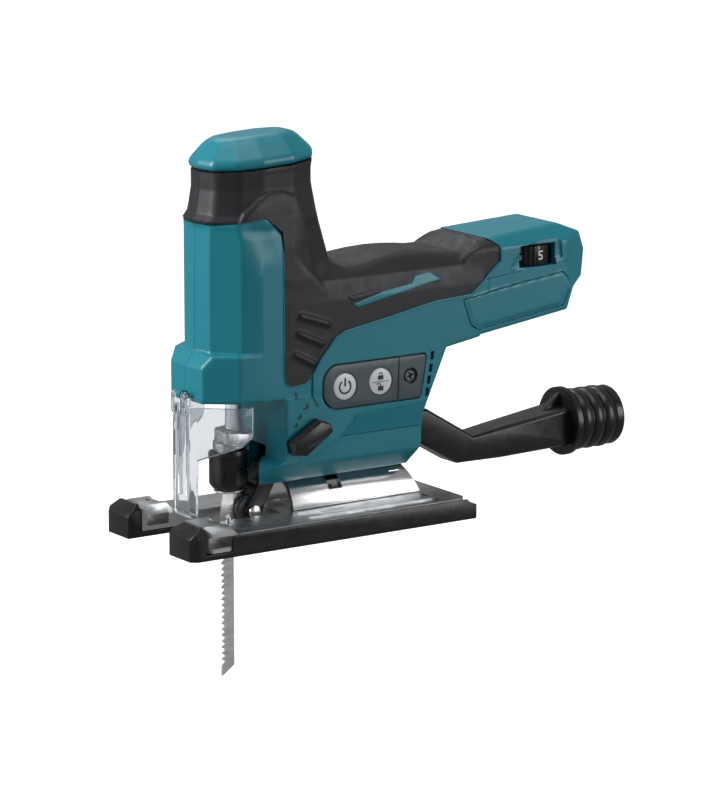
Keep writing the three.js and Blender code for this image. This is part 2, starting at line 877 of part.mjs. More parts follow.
function speedDial() {
  const ribs = 24;
  const rim = [];
  for (let i = 0; i < ribs; i++) {
    const a = (i * 360) / ribs;
    rim.push(...arc(DIAL.r, [0, 0], a - 4.5, a + 4.5, 1), ...arc(DIAL.r - 0.6, [0, 0], a + 5, a + 10, 1));
  }
  return cut(
    prism("z", rim, DIAL.bottom, DIAL.top),
    cylinder("z", 2, DIAL.bottom - 1, DIAL.bottom + 6, [0, 0], 16),
  );
}

function makeElectronics(body) {
  const chips = join(
    block([-15, -5], [118, 132], [103.4, 108]),
    block([0, 14], [116, 126], [103.4, 106]),
    cylinder("z", 5, 103.4, 113, [-9, 142], 20),
    cylinder("z", 5, 103.4, 113, [-9, 153.5], 20),
  );
  const board = block([-17, 17], [112, 160], [102, 103.6]);
  place(body, "control_board", board.add(chips), BOARD_GREEN);
  const pot = join(
    block([-5, 5], [-5, 5], [108.6, 113]),
    cylinder("z", 1.7, 112, DIAL.bottom + 5, [0, 0], 12),
  );
  place(body, "potentiometer", pot, GREY_PLASTIC, [DIAL.x, DIAL.y, 0]);
  place(body, "switch_board", block([17.9, 19], [38, 79], [60.5, 78]), BOARD_GREEN);
  const contacts = [-6, 0, 6].map((x) => block([x - 1, x + 1], [4, 14], [0, 4]));
  const socket = cut(block([-9.4, 9.4], [3.4, 13], [1.4, 6]), ...contacts);
  const slope = THREE.MathUtils.radToDeg(BATTERY_SLOPE);
  place(body, "terminal_block", socket.rotate([slope, 0, 0]), BLACK_PLASTIC, [0, 115.3, 83.2]);
}

// ---- Guard ----
function makeGuard() {
  const guard = movingGroup();
  const wall = 1.6;
  const outer = [
    [21.8, -1],
    [21.8, -8],
    [8.4, -23.4],
    [8.4, -25],
    [7.4, -26.4],
  ];
  const inner = outer.map(([x, y]) => [x - wall, y === -1 ? y : y + wall * 0.6]);
  const plan = [...outer, ...mirroredBack(outer), ...mirroredBack(inner).reverse(), ...inner.reverse()];
  const side = [
    [-26.6, 14],
    [-25.4, 12.4],
    [-23, 12.4],
    [-22.6, 39.4],
    [-3.4, 48],
    [-1, 51.4],
    [-1, 64],
    [-26.6, 64],
  ];
  const sheet = prism("z", plan, 10, 66).intersect(prism("x", side, -REACH, REACH));
  const ribs = acrossBoth(block([2.6, 3.8], [-25.6, -23.6], [22, 63.8]));
  const [y, z] = GUARD_HINGE;
  const tab = prism("x", capsule([y, 62], [y, z], 1.8), 2.2, 5.6);
  const hinges = cut(acrossBoth(tab), cylinder("x", 1.05, -8, 8, GUARD_HINGE, 12));
  const floor = block([-7.4, 7.4], [-26, -23.2], [12.4, 14.4]);
  place(guard, "guard", join(sheet, ribs, hinges, floor), CLEAR);
}

function mirroredBack(points) {
  return points.map(([x, y]) => [-x, y]).reverse();
}

// ---- Base ----
function makeBase() {
  const base = movingGroup();
  place(base, "base_plate", basePlate(), CAST_ALUMINIUM);
  place(base, "bevel_arch", bevelArch(), POLISHED_METAL);
  place(base, "sole_cover", soleCover(), BLACK_PLASTIC);
  place(base, "rule_stud", cylinder("z", 1.4, 10.8, 13.6, [15.6, -11], 12), STEEL);
}

// Cut-outs for the blade between the two prongs, and for the base bolt under the arch.
function throat(half) {
  const front = block([-PRONG_INNER, PRONG_INNER], [-60, -20], [-5, 30]);
  const taper = [
    [PRONG_INNER, -21],
    [PRONG_INNER, -20],
    [half, -14],
    [half, 19.5],
  ];
  const blade = prism("z", mirrored(taper), -5, 30);
  return [front, blade, block([-10.8, 10.8], [30, 88], [-5, 30])];
}

function basePlate() {
  const half = BASE_HALF - 1.3;
  const plan = mirrored([
    [half - 4, PRONG_FRONT],
    [half, PRONG_FRONT + 4],
    [half, 105],
    [half - 4, 109],
  ]);
  const low = SOLE_TOP + GAP;
  const prongSide = [
    [PRONG_FRONT, low],
    [PRONG_FRONT, 13.6],
    [PRONG_FRONT + 2, 15],
    [-24, 15],
    [-19.6, PLATE_TOP],
    [-15, PLATE_TOP - 2],
    [-15, low],
  ];
  const prongFront = mirrored([
    [half, 0],
    [half, 11.8],
    [half - 3.2, 15],
  ]);
  const prongs = prism("x", prongSide, -half, half)
    .intersect(prism("z", plan, 0, 40))
    .intersect(prism("y", prongFront, -60, 0));
  const ruleSlot = block([-REACH, REACH], [-34.2, -22.6], [5, 10]);
  const screwHole = acrossBoth(cylinder("z", 1.4, 11, 20, [27, -28.4], 12));
  const plate = prism("z", plan, low, PLATE_TOP);
  return cut(plate.add(prongs), ...throat(THROAT_HALF), ruleSlot, screwHole);
}

// Half a tube along Y, with a cross slot for the bolt and a ramp at its rear.
function bevelArch() {
  const low = PLATE_TOP + GAP;
  const tube = ring("y", ARCH_R, ARCH_R - 3, 20, 100, [0, TILT_Z], 32);
  const side = [
    [25, low],
    [97, low],
    [89, 27],
    [25, 27],
  ];
  const reach = 22;
  const slot = [
    [0, TILT_Z],
    [reach, 22.4],
    [reach, 45],
    [-reach, 45],
    [-reach, 22.4],
  ];
  return cut(
    tube.intersect(prism("x", side, -REACH, REACH)),
    prism("y", slot, BOLT_Y - 3.8, BOLT_Y + 3.8),
  );
}

function soleCover() {
  const plan = mirrored([
    [36, TOE_FRONT],
    [BASE_HALF, TOE_FRONT + 3],
    [BASE_HALF, BASE_REAR - 2],
    [BASE_HALF - 2, BASE_REAR],
  ]);
  const outer = prism("z", plan, 0, 30);
  const sole = prism("z", plan, 0, SOLE_TOP);
  const railSide = [
    [-22.8, 0],
    [-22.8, 8.8],
    [-21.6, 10],
    [108, 10],
    [112, 6.4],
    [112, 0],
  ];
  const rail = prism("x", railSide, BASE_HALF - 1, BASE_HALF);
  const lip = block([-BASE_HALF, BASE_HALF], [109.4, BASE_REAR], [0, 6.4]).intersect(outer);
  const toeSide = [
    [TOE_FRONT, 0],
    [TOE_FRONT, 11],
    [TOE_FRONT + 0.6, 11.8],
    [PRONG_FRONT - GAP - 0.6, 15.5],
    [PRONG_FRONT - GAP, 15.5],
    [PRONG_FRONT - GAP, 0],
  ];
  const toes = prism("x", toeSide, -BASE_HALF, BASE_HALF).intersect(outer);
  return cut(join(sole, acrossBoth(rail), lip, toes), ...throat(THROAT_HALF));
}

// A bolt from below the arch into the body, with the curved plate that it pulls against the arch.
function makeBaseClamp(body) {
  const head = cylinder("z", 5.6, 13.4, 17.9, [0, 0], 6);
  const shank = cylinder("z", 3, 17.5, 37.5);
  const socket = cylinder("z", 2.6, 13, 16.4, [0, 0], 6);
  place(body, "base_bolt", cut(head.add(shank), socket), DARK_STEEL, [0, BOLT_Y, 0]);
  const curved = [
    ...arc(ARCH_R - 3 - GAP, [0, TILT_Z], 55, 125, 10),
    ...arc(ARCH_R - 6.2, [0, TILT_Z], 125, 55, 10),
  ];
  const plate = prism("y", curved, BOLT_Y - 8, BOLT_Y + 8);
  place(body, "arch_clamp", cut(plate, cylinder("z", 3.3, 10, 30, [0, BOLT_Y], 16)), STEEL);
}

// ---- Dust nozzle ----
function makeNozzle() {
  const nozzle = movingGroup();
  const outer = join(
    duct(8.2, 84.8, 190),
    cylinder("y", 16.8, 188, 191, [0, NOZZLE_END_Z]),
    cylinder("y", 14, 190, 221, [0, NOZZLE_END_Z]),
    ...[197, 204, 211].map((y) => cylinder("y", 15, y, y + 3.6, [0, NOZZLE_END_Z])),
  );
  const bore = join(duct(6.2, 84, 194), cylinder("y", 12, 192, 225, [0, NOZZLE_END_Z]));
  place(nozzle, "dust_nozzle", cut(outer, bore), BLACK_PLASTIC);
}

// A square duct with cut corners, which drops behind the body and runs level to the rear.
function duct(half, from, to) {
  const edge = half - 2;
  const section = [
    [edge, -half],
    [half, -edge],
    [half, edge],
    [edge, half],
    [-edge, half],
    [-half, edge],
    [-half, -edge],
    [-edge, -half],
  ].map(([u, v]) => new THREE.Vector2(u, v));
  const route = [
    [from, NOZZLE_Z],
    [104, NOZZLE_Z - 0.8],
    [112, 35.5],
    [121, 28.4],
    [131, 25.4],
    [150, 25.2],
    [178, 27.4],
    [to, 29.2],
  ];
  const extrudePath = new THREE.CatmullRomCurve3(route.map(([y, z]) => new THREE.Vector3(0, y, z)));
  return solidOf(
    new THREE.ExtrudeGeometry(new THREE.Shape(section), { steps: 11, bevelEnabled: false, extrudePath }),
  );
}

makeBody();
makePlunger();
makeRoller();
makeControls();
makeGuard();
makeBase();
makeNozzle();

export default jigsaw;
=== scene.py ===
import math
from functools import reduce

import bmesh
import bpy
import numpy as np
from mathutils import Matrix, Vector


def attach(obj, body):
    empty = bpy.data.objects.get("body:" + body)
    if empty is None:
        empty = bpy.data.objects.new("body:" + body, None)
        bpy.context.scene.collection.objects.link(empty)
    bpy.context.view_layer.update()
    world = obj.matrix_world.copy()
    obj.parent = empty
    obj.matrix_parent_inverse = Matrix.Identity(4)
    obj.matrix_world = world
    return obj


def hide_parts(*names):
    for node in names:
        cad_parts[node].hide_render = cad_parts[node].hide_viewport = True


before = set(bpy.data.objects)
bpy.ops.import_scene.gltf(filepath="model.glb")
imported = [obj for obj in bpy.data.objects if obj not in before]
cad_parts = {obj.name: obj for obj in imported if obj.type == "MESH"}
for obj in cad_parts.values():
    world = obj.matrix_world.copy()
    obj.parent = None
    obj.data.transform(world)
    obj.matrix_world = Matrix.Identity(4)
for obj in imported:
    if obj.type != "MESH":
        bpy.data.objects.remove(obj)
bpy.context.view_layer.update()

# Looks of a cordless barrel-grip jigsaw. Shapes are made in millimetres, in the CAD frame:
# +Z up, -Y the cutting direction, +X the tool's left side.
MM = 0.001

# ---- Driving dimensions, as in the CAD model ----
GAP = 0.3
HALF_BODY = 25
WALL = 5
RUBBER = 2.5
ROD_Y = 1.9
CLAMP_Y = -1
BLADE_FRONT = -5.3
BLADE_BACK = 1.4
BLADE_THICK = 1.3
TOOTH_PITCH = 2.88
BLADE_TIP_Z = -67.5
ROLLER = (8.9, 11)
ROLLER_R = 6.9
HOLDER_PIVOT = (19, 29)
LEVER_PIVOT = (33, 51)
TILT_Z = 11
ARCH_R = 15
PLATE_TOP = 10.5
SOLE_TOP = 2.6
BASE_HALF = 38.5
BASE_REAR = 115
PRONG_FRONT = -37
TOE_FRONT = -44.5
PRONG_INNER = 18
THROAT_HALF = 13
BOLT_Y = 50
GUARD_HINGE = (-26.4, 69.5)
PANEL_Y = (35.7, 93.3)
PANEL_Z = (59, 79.4)
POWER_BUTTON = (47.1, 69)
LOCK_BUTTON = (67, 69.2)
PANEL_SCREW = (84.3, 69.9)
BUTTON_R = 6
DIAL = dict(x=13.3, y=159.2, r=11, low=115, high=124)
CAP_CENTRE = (12.7, 171.3)
CAP_TILT = math.radians(3)
NOZZLE_Z = 40.4
NOZZLE_END_Z = 31
BATTERY_SLOPE = math.atan2(91.6 - 83.2, 177 - 115.3)
HOUSING_SCREWS = ((-9, 134), (38, 146), (98, 93), (168, 107), (36, 40), (74, 40))
FLOOR_Z = BLADE_TIP_Z - 0.5


# ---- Outlines: lists of (u, v) points ----
def mirrored(half):
    return half + [(-u, v) for u, v in reversed(half) if u > 0]


def arc(radius, centre, start, end, steps):
    turns = [math.radians(start + (end - start) * i / steps) for i in range(steps + 1)]
    return [(centre[0] + radius * math.cos(t), centre[1] + radius * math.sin(t)) for t in turns]


def circle(radius, centre=(0, 0), sides=48):
    return arc(radius, centre, 0, 360, sides)[:-1]


def rectangle(u0, u1, v0, v1):
    return [(u0, v0), (u1, v0), (u1, v1), (u0, v1)]


def capsule(a, b, radius, steps=12):
    along = math.degrees(math.atan2(b[1] - a[1], b[0] - a[0]))
    return arc(radius, b, along - 90, along + 90, steps) + arc(radius, a, along + 90, along + 270, steps)


def rounded_box(u0, u1, v0, v1, radius, steps=6):
    corners = ((u1, v0, -90), (u1, v1, 0), (u0, v1, 90), (u0, v0, 180))
    points = []
    for u, v, start in corners:
        inward_u = math.copysign(radius, (u0 + u1) / 2 - u)
        inward_v = math.copysign(radius, (v0 + v1) / 2 - v)
        points += arc(radius, (u + inward_u, v + inward_v), start, start + 90, steps)
    return points


def inset(outline, distance):
    """The outline moved inwards by a distance, with sharp corners."""
    points = np.array(outline, float)
    before, after = np.roll(points, 1, 0), np.roll(points, -1, 0)
    area = np.sum(before[:, 0] * points[:, 1] - points[:, 0] * before[:, 1])
    a = (points - before) / np.linalg.norm(points - before, axis=1)[:, None]
    b = (after - points) / np.linalg.norm(after - points, axis=1)[:, None]
    scale = distance * np.sign(area) / (1 + (a * b).sum(1))
    return [tuple(p) for p in points + np.stack([-(a + b)[:, 1], (a + b)[:, 0]], 1) * scale[:, None]]


# ---- Outlines of the body: side views are (y, z), plans (x, y), front views (x, z) ----
COLUMN = dict(
    side=[(-21, 66.7), (-19.4, 90), (-18, 147.5), (6, 150), (14, 143.5), (20, 136), (40, 115), (40, 66.7)],
    plan=mirrored([(0, -19.2), (11, -17.4), (22, -7), (25, 3.4), (25, 60)]),
    front=mirrored([(25, 60), (25, 122), (22.5, 142), (19, 152)]),
)
FLARE = dict(
    side=[(-24, 66.7), (-24, 83), (-19.2, 89.3), (30, 89.3), (30, 66.7)],
    plan=mirrored([(0, -24.6), (13.5, -23.6), (24, -9.5), (25, 0), (25, 60)]),
    front=mirrored([(25, 60), (25, 100)]),
)
BODY = dict(
    side=[
        (15.2, 27), (20, 24.8), (89.8, 24.8), (92, 37), (92.4, 51.5), (105.6, 81), (125, 84),
        (130, 104), (130, 131), (126, 130), (121, 127.4), (116, 124.9), (109, 124.9), (101.6, 126),
        (93, 127), (84, 127.4), (74, 126.8), (64.6, 125.2), (58, 124), (52, 124), (40, 130),
        (14.9, 130),
    ],
    plan=mirrored([(25, 0), (25, 120), (24, 140)]),
    front=mirrored([(13.8, 24.8), (25, 36), (25, 110), (23, 119), (17.5, 126), (9, 132)]),
)
REAR = dict(
    side=[
        (100, 90), (104, 82.3), (115.3, 83.2), (177, 91.6), (182.5, 101.5), (189.5, 106),
        (191.5, 119), (187, 128), (175, 133), (133, 130), (126, 128.8), (116, 122),
    ],
    plan=mirrored([(24, 90), (24, 176), (17, 191.5)]),
    front=mirrored([(24, 80), (24, 125), (16, 133.4)]),
)
HORN_SIDE = [
    (30, 25.2), (30, 46), (15.6, 46), (15, 37.4), (7, 34.4), (4, 34), (1, 32.6), (0, 30.6), (0.4, 28),
    (2.4, 25.8), (5, 25.2),
]
HORN_PLAN = mirrored([(9, 10.2), (20, 3.1), (22, 2.4), (25, 2), (25, 46)])
GRIP_SIDE = [
    (14.7, 77.2), (15.6, 73.6), (18, 71.6), (26.1, 72.4), (28.9, 74.8), (35, 83.8), (43.1, 92.5),
    (48, 94.8), (70.5, 98.5), (97.6, 103.4), (119.6, 104.7), (126.2, 110), (137.3, 119),
    (137.2, 126.3), (122.7, 136), (90, 190), (-30, 190), (-30, 148.6), (-17.5, 148.4), (6, 151),
    (14.3, 144), (14.7, 136),
]
NECK_HEIGHTS = (100, 124, 136, 145, 148, 150, 153, 156, 164, 171, 176)
NECK_MIDDLES = (24, 21, 17.5, 15, 12.5, 11.7, 12.6, 12.6, 12.5, 12.5, 12.7)
NECK_RADII = (31, 31, 30.8, 30.6, 32.2, 32.4, 31, 30.4, 29, 29, 29.6)
KNOB_SECTION = mirrored([
    (0, -0.98), (0.36, -0.92), (0.62, -0.62), (0.7, -0.2), (0.7, 0.35), (0.5, 0.8), (0.22, 0.98),
])
CAP_R = 30.8
CAP_RIM = 2.6


# ---- Distance fields: negative inside, in millimetres ----
def polygon_distance(u, v, outline):
    shape = np.broadcast(u, v).shape
    nearest = np.full(shape, np.inf)
    inside = np.zeros(shape, bool)
    for (u0, v0), (u1, v1) in zip(outline, outline[1:] + outline[:1]):
        du, dv = u1 - u0, v1 - v0
        t = np.clip(((u - u0) * du + (v - v0) * dv) / (du * du + dv * dv), 0, 1)
        nearest = np.minimum(nearest, (u - u0 - t * du) ** 2 + (v - v0 - t * dv) ** 2)
        crosses = (v0 > v) != (v1 > v)
        inside ^= crosses & (u < u0 + du * (v - v0) / (dv or 1e-9))
    return np.where(inside, -1, 1) * np.sqrt(nearest)


def outline_distance(u, v, outline, radius):
    return polygon_distance(u, v, inset(outline, radius)) - radius


def meet(distances, radius):
    """What is inside all of them, with its edges rounded to a radius."""
    outside = [np.maximum(d + radius, 0) for d in distances]
    deepest = reduce(np.maximum, distances) + radius
    return np.minimum(deepest, 0) + np.sqrt(sum(o * o for o in outside)) - radius


def fuse(a, b, blend):
    h = np.clip(0.5 + 0.5 * (b - a) / blend, 0, 1)
    return b * (1 - h) + a * h - blend * h * (1 - h)


def carve(a, b, blend):
    return -fuse(-a, b, blend)


def lump(x, y, z, shape, radius):
    return meet(
        [
            outline_distance(y, z, shape["side"], radius),
            outline_distance(x, y, shape["plan"], radius),
            outline_distance(x, z, shape["front"], radius),
        ],
        radius,
    )


def knob_section(x, y, radius, rounding=0.28):
    return outline_distance(x / radius, y / radius, KNOB_SECTION, rounding) * radius


def neck(x, y, z):
    middle = np.interp(z, NECK_HEIGHTS, NECK_MIDDLES)
    section = knob_section(x, y - middle, np.interp(z, NECK_HEIGHTS, NECK_RADII))
    return np.maximum(section, np.abs(z - 145) - 32)


def above_cap_seat(x, y, z):
    rise = -(y - CAP_CENTRE[0]) * math.sin(CAP_TILT) + (z - CAP_CENTRE[1]) * math.cos(CAP_TILT)
    return CAP_RIM - 0.3 - rise + 0 * x


# The bulge where the handle grows out of the neck.
HUMP = dict(
    side=[
        (-8, 149), (-5, 154), (2, 160), (9, 163.2), (16, 163.4), (24, 160), (28, 150), (34, 128),
        (30, 112), (14, 120),
    ],
    plan=mirrored([(0, -12), (22, -8.5), (24.4, 2), (24.4, 20), (20, 36), (12, 48)]),
    front=mirrored([(25, 100), (25, 136), (21.6, 165)]),
)


def envelope(x, y, z, edge=1.2):
    lumps = [lump(x, y, z, shape, edge) for shape in (COLUMN, FLARE, BODY, REAR)]
    whole = reduce(lambda a, b: fuse(a, b, 0.8), lumps)
    return carve(fuse(whole, neck(x, y, z), 3), above_cap_seat(x, y, z), 0.5)


# ---- Meshes ----
def made(bm):
    bmesh.ops.recalc_face_normals(bm, faces=bm.faces)
    mesh = bpy.data.meshes.new("solid")
    bm.to_mesh(mesh)
    bm.free()
    return placed(mesh)


def placed(mesh):
    obj = bpy.data.objects.new("solid", mesh)
    bpy.context.scene.collection.objects.link(obj)
    return obj


def skin(field, low, high, pitch):
    """A closed mesh where the field is zero: one vertex in each cell that it crosses, moved onto it."""
    axes = [np.arange(a, b + pitch, pitch) for a, b in zip(low, high)]
    x, y, z = np.meshgrid(*axes, indexing="ij", sparse=True)
    inside = np.broadcast_to(field(x, y, z), [len(a) for a in axes]) < 0
    n = [len(a) - 1 for a in axes]
    corners = np.zeros(n, np.int8)
    for i in (0, 1):
        for j in (0, 1):
            for k in (0, 1):
                corners += inside[i:n[0] + i, j:n[1] + j, k:n[2] + k]
    cells = (corners > 0) & (corners < 8)
    number = np.cumsum(cells).reshape(cells.shape) - 1
    points = np.array(low) + (np.argwhere(cells) + 0.5) * pitch
    faces = []
    for axis in range(3):
        a, b = (axis + 1) % 3, (axis + 2) % 3
        change = np.diff(inside.astype(np.int8), axis=axis)
        edges = np.argwhere(change)
        rows = []
        for shift_a, shift_b in ((1, 1), (0, 1), (0, 0), (1, 0)):
            cell = edges.copy()
            cell[:, a] -= shift_a
            cell[:, b] -= shift_b
            rows.append(number[tuple(cell.T)])
        quads = np.stack(rows, 1)
        outward = change[tuple(edges.T)] < 0
        faces.append(np.where(outward[:, None], quads, quads[:, ::-1]))
    for _ in range(5):
        points = points - settle(field, points, pitch)
    mesh = bpy.data.meshes.new("skin")
    quads = np.concatenate(faces)
    mesh.from_pydata(points.tolist(), [], quads.tolist())
    mesh.update()
    return placed(mesh)


def settle(field, points, most):
    """The step that takes each point to where the field is zero."""
    h = 0.02
    value = field(*points.T)
    slope = np.stack([(field(*(points + h * axis).T) - value) / h for axis in np.eye(3)], 1)
    step = value[:, None] * slope / np.maximum((slope ** 2).sum(1), 0.05)[:, None]
    length = np.linalg.norm(step, axis=1, keepdims=True)
    return step * np.minimum(1, most / np.maximum(length, 1e-9))


ORDER = {"x": (2, 0, 1), "y": (0, 2, 1), "z": (0, 1, 2)}


def at(axis, u, v, w):
    """The point at (u, v) of a view along an axis, and at w along it."""
    return Vector([(u, v, w)[i] for i in ORDER[axis]])


def loft(rings):
    """A closed skin through rings of points, with flat ends."""
    bm = bmesh.new()
    loops = [[bm.verts.new(p) for p in ring] for ring in rings]
    bm.faces.new(loops[0][::-1])
    bm.faces.new(loops[-1])
    for low, high in zip(loops, loops[1:]):
        for i in range(len(low)):
            j = (i + 1) % len(low)
            bm.faces.new((low[i], low[j], high[j], high[i]))
    return made(bm)


def prism(axis, outline, start, end):
    return loft([[at(axis, u, v, w) for u, v in outline] for w in (start, end)])


def cylinder(axis, radius, start, end, centre=(0, 0), sides=48):
    return prism(axis, circle(radius, centre, sides), start, end)


def block(x, y, z):
    return prism("z", rectangle(*x, *y), *z)


def turned(profile, axis="z", centre=(0, 0), sides=64):
    """A closed profile of (radius, height) turned about an axis."""
    bm = bmesh.new()
    rings = []
    for i in range(sides):
        cos, sin = math.cos(2 * math.pi * i / sides), math.sin(2 * math.pi * i / sides)
        rings.append([
            bm.verts.new(at(axis, centre[0] + r * cos, centre[1] + r * sin, h)) for r, h in profile
        ])
    for a, b in zip(rings, rings[1:] + rings[:1]):
        for i in range(len(profile)):
            j = (i + 1) % len(profile)
            bm.faces.new((a[i], a[j], b[j], b[i]))
    bmesh.ops.remove_doubles(bm, verts=bm.verts, dist=1e-4)
    return made(bm)


def combined(first, other, operation):
    modifier = first.modifiers.new("combine", "BOOLEAN")
    modifier.operation = operation
    modifier.object = other
    modifier.solver = "MANIFOLD"
    applied(first)
    bpy.data.objects.remove(other)
    return first


def applied(obj):
    bpy.context.view_layer.update()
    mesh = bpy.data.meshes.new_from_object(obj.evaluated_get(bpy.context.evaluated_depsgraph_get()))
    obj.modifiers.clear()
    obj.data = mesh
    return obj


def join(first, *others):
    for other in others:
        combined(first, other, "UNION")
    return first


def cut(first, *others):
    for other in others:
        combined(first, other, "DIFFERENCE")
    return first


def common(first, *others):
    for other in others:
        combined(first, other, "INTERSECT")
    return first


def copy(obj):
    return placed(obj.data.copy())


def moved(obj, matrix):
    obj.data.transform(matrix)
    if matrix.determinant() < 0:
        obj.data.flip_normals()
    return obj


def shifted(obj, x=0, y=0, z=0):
    return moved(obj, Matrix.Translation((x, y, z)))


def spun(obj, degrees, axis, centre=(0, 0, 0)):
    to = Matrix.Translation(centre)
    return moved(obj, to @ Matrix.Rotation(math.radians(degrees), 4, axis) @ to.inverted())


def flipped(obj):
    return moved(obj, Matrix.Scale(-1, 4, (1, 0, 0)))


def both_sides(obj):
    return join(obj, flipped(copy(obj)))


def bevelled(obj, width, segments=3, angle=32):
    modifier = obj.modifiers.new("bevel", "BEVEL")
    modifier.width = width
    modifier.segments = segments
    modifier.limit_method = "ANGLE"
    modifier.angle_limit = math.radians(angle)
    return applied(obj)


def together(objects):
    """Separate shells as one mesh, with no boolean."""
    bm = bmesh.new()
    for obj in objects:
        bm.from_mesh(obj.data)
        bpy.data.objects.remove(obj)
    mesh = bpy.data.meshes.new("solid")
    bm.to_mesh(mesh)
    bm.free()
    return placed(mesh)


def piece(name, obj, material, body, slot, *nodes, crease=38):
    """obj becomes a finished piece: in metres, shaded, painted, and riding on its body."""
    obj.name = name
    obj.data.name = name
    obj.data.transform(Matrix.Scale(MM, 4))
    obj.data.materials.clear()
    obj.data.materials.append(material)
    obj.data.polygons.foreach_set("use_smooth", [True] * len(obj.data.polygons))
    obj.data.set_sharp_from_angle(angle=math.radians(crease))
    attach(obj, body)
    if nodes:
        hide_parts(*nodes)
    return obj


# ---- Materials ----
class Paint:
    """A Principled material and the nodes that vary it. Texture positions are in metres."""

    def __init__(self, name, colour, roughness, metallic=0.0, **sockets):
        self.material = bpy.data.materials.new(name)
        self.material.use_nodes = True
        self.tree = self.material.node_tree
        self.shader = self.tree.nodes["Principled BSDF"]
        self.colour = colour
        self.roughness = roughness
        self.shader.inputs["Base Color"].default_value = (*colour, 1)
        self.shader.inputs["Roughness"].default_value = roughness
        self.shader.inputs["Metallic"].default_value = metallic
        for socket, value in sockets.items():
            self.shader.inputs[socket.replace("_", " ")].default_value = value
        self.place = self.node("ShaderNodeTexCoord").outputs["Object"]
        self.normal = None

    def node(self, kind, **settings):
        node = self.tree.nodes.new(kind)
        for key, value in settings.items():
            setattr(node, key, value)
        return node

    def link(self, output, socket):
        self.tree.links.new(output, socket)

    def noise(self, size, detail=3.0, stretch=(1, 1, 1)):
        """Noise with features of a size in millimetres."""
        mapping = self.node("ShaderNodeMapping")
        mapping.inputs["Scale"].default_value = stretch
        texture = self.node("ShaderNodeTexNoise")
        texture.inputs["Scale"].default_value = 1 / (size * MM)
        texture.inputs["Detail"].default_value = detail
        self.link(self.place, mapping.inputs["Vector"])
        self.link(mapping.outputs["Vector"], texture.inputs["Vector"])
        return texture.outputs["Fac"]

    def between(self, factor, low, high):
        ramp = self.node("ShaderNodeMapRange")
        ramp.inputs["From Min"].default_value = 0.3
        ramp.inputs["From Max"].default_value = 0.7
        ramp.inputs["To Min"].default_value = low
        ramp.inputs["To Max"].default_value = high
        self.link(factor, ramp.inputs["Value"])
        return ramp.outputs["Result"]

    def tint(self, size, amount, other=None, **options):
        """Colour that drifts by an amount towards another one, or towards a darker self."""
        other = other or tuple(c * 0.6 for c in self.colour)
        mix = self.node("ShaderNodeMix", data_type="RGBA")
        mix.inputs["A"].default_value = (*self.colour, 1)
        mix.inputs["B"].default_value = (*other, 1)
        self.link(self.between(self.noise(size, **options), 0, amount), mix.inputs["Factor"])
        self.link(mix.outputs["Result"], self.shader.inputs["Base Color"])
        return self

    def dull(self, size, spread, **options):
        """Roughness that varies by a spread each way."""
        value = self.between(self.noise(size, **options), self.roughness - spread, self.roughness + spread)
        self.link(value, self.shader.inputs["Roughness"])
        return self

    def grain(self, size, depth, detail=3.0, stretch=(1, 1, 1)):
        """Bumps of a size and depth in millimetres."""
        bump = self.node("ShaderNodeBump")
        bump.inputs["Strength"].default_value = 1
        bump.inputs["Distance"].default_value = depth * MM
        self.link(self.noise(size, detail, stretch), bump.inputs["Height"])
        if self.normal:
            self.link(self.normal, bump.inputs["Normal"])
        self.normal = bump.outputs["Normal"]
        self.link(self.normal, self.shader.inputs["Normal"])
        return self


TEAL = Paint("teal_plastic", (0.004, 0.165, 0.215), 0.36, Specular_IOR_Level=0.42)
TEAL.tint(40, 0.25, (0.01, 0.2, 0.255)).dull(9, 0.04).grain(0.5, 0.012)
RUBBER_BLACK = Paint("rubber", (0.011, 0.0125, 0.015), 0.46, Specular_IOR_Level=0.34)
RUBBER_BLACK.tint(25, 0.4, (0.016, 0.018, 0.021)).dull(6, 0.06).grain(0.45, 0.03)
BLACK = Paint("black_plastic", (0.006, 0.0065, 0.0075), 0.3, Specular_IOR_Level=0.4)
BLACK.tint(20, 0.5, (0.01, 0.0105, 0.012)).dull(8, 0.06).grain(0.6, 0.012)
GREY = Paint("grey_plastic", (0.052, 0.06, 0.072), 0.42)
GREY.tint(14, 0.4).dull(5, 0.05).grain(0.4, 0.016)
PANEL_GREY = Paint("panel_plastic", (0.05, 0.075, 0.088), 0.4)
PANEL_GREY.tint(14, 0.3).dull(5, 0.05).grain(0.4, 0.014)
PALE = Paint("pale_plastic", (0.62, 0.64, 0.67), 0.4)
PALE.tint(8, 0.12).dull(4, 0.05).grain(0.4, 0.008)
INK = Paint("dark_ink", (0.012, 0.02, 0.025), 0.6)
INK.tint(3, 0.4).dull(3, 0.08).grain(0.3, 0.006)
WHITE_INK = Paint("white_ink", (0.8, 0.82, 0.84), 0.5)
WHITE_INK.tint(3, 0.12).dull(3, 0.08).grain(0.3, 0.006)
STEEL = Paint("steel", (0.56, 0.57, 0.58), 0.28, 1.0)
STEEL.tint(5, 0.25).dull(3, 0.08).grain(0.25, 0.006)
DARK_STEEL = Paint("dark_steel", (0.13, 0.135, 0.145), 0.4, 1.0)
DARK_STEEL.tint(4, 0.4).dull(3, 0.1).grain(0.3, 0.01)
BLADE_STEEL = Paint("blade_steel", (0.66, 0.65, 0.65), 0.32, 0.75)
BLADE_STEEL.tint(3, 0.35).dull(2, 0.08, stretch=(1, 0.15, 1)).grain(0.35, 0.012, stretch=(1, 0.12, 1))
BRIGHT = Paint("bright_metal", (0.72, 0.73, 0.74), 0.22, 1.0)
BRIGHT.tint(6, 0.15).dull(4, 0.06, stretch=(1, 0.1, 1)).grain(0.4, 0.006, stretch=(1, 0.1, 1))
CAST = Paint("cast_aluminium", (0.47, 0.48, 0.49), 0.36, 1.0)
CAST.tint(8, 0.2).dull(4, 0.08).grain(0.7, 0.02)
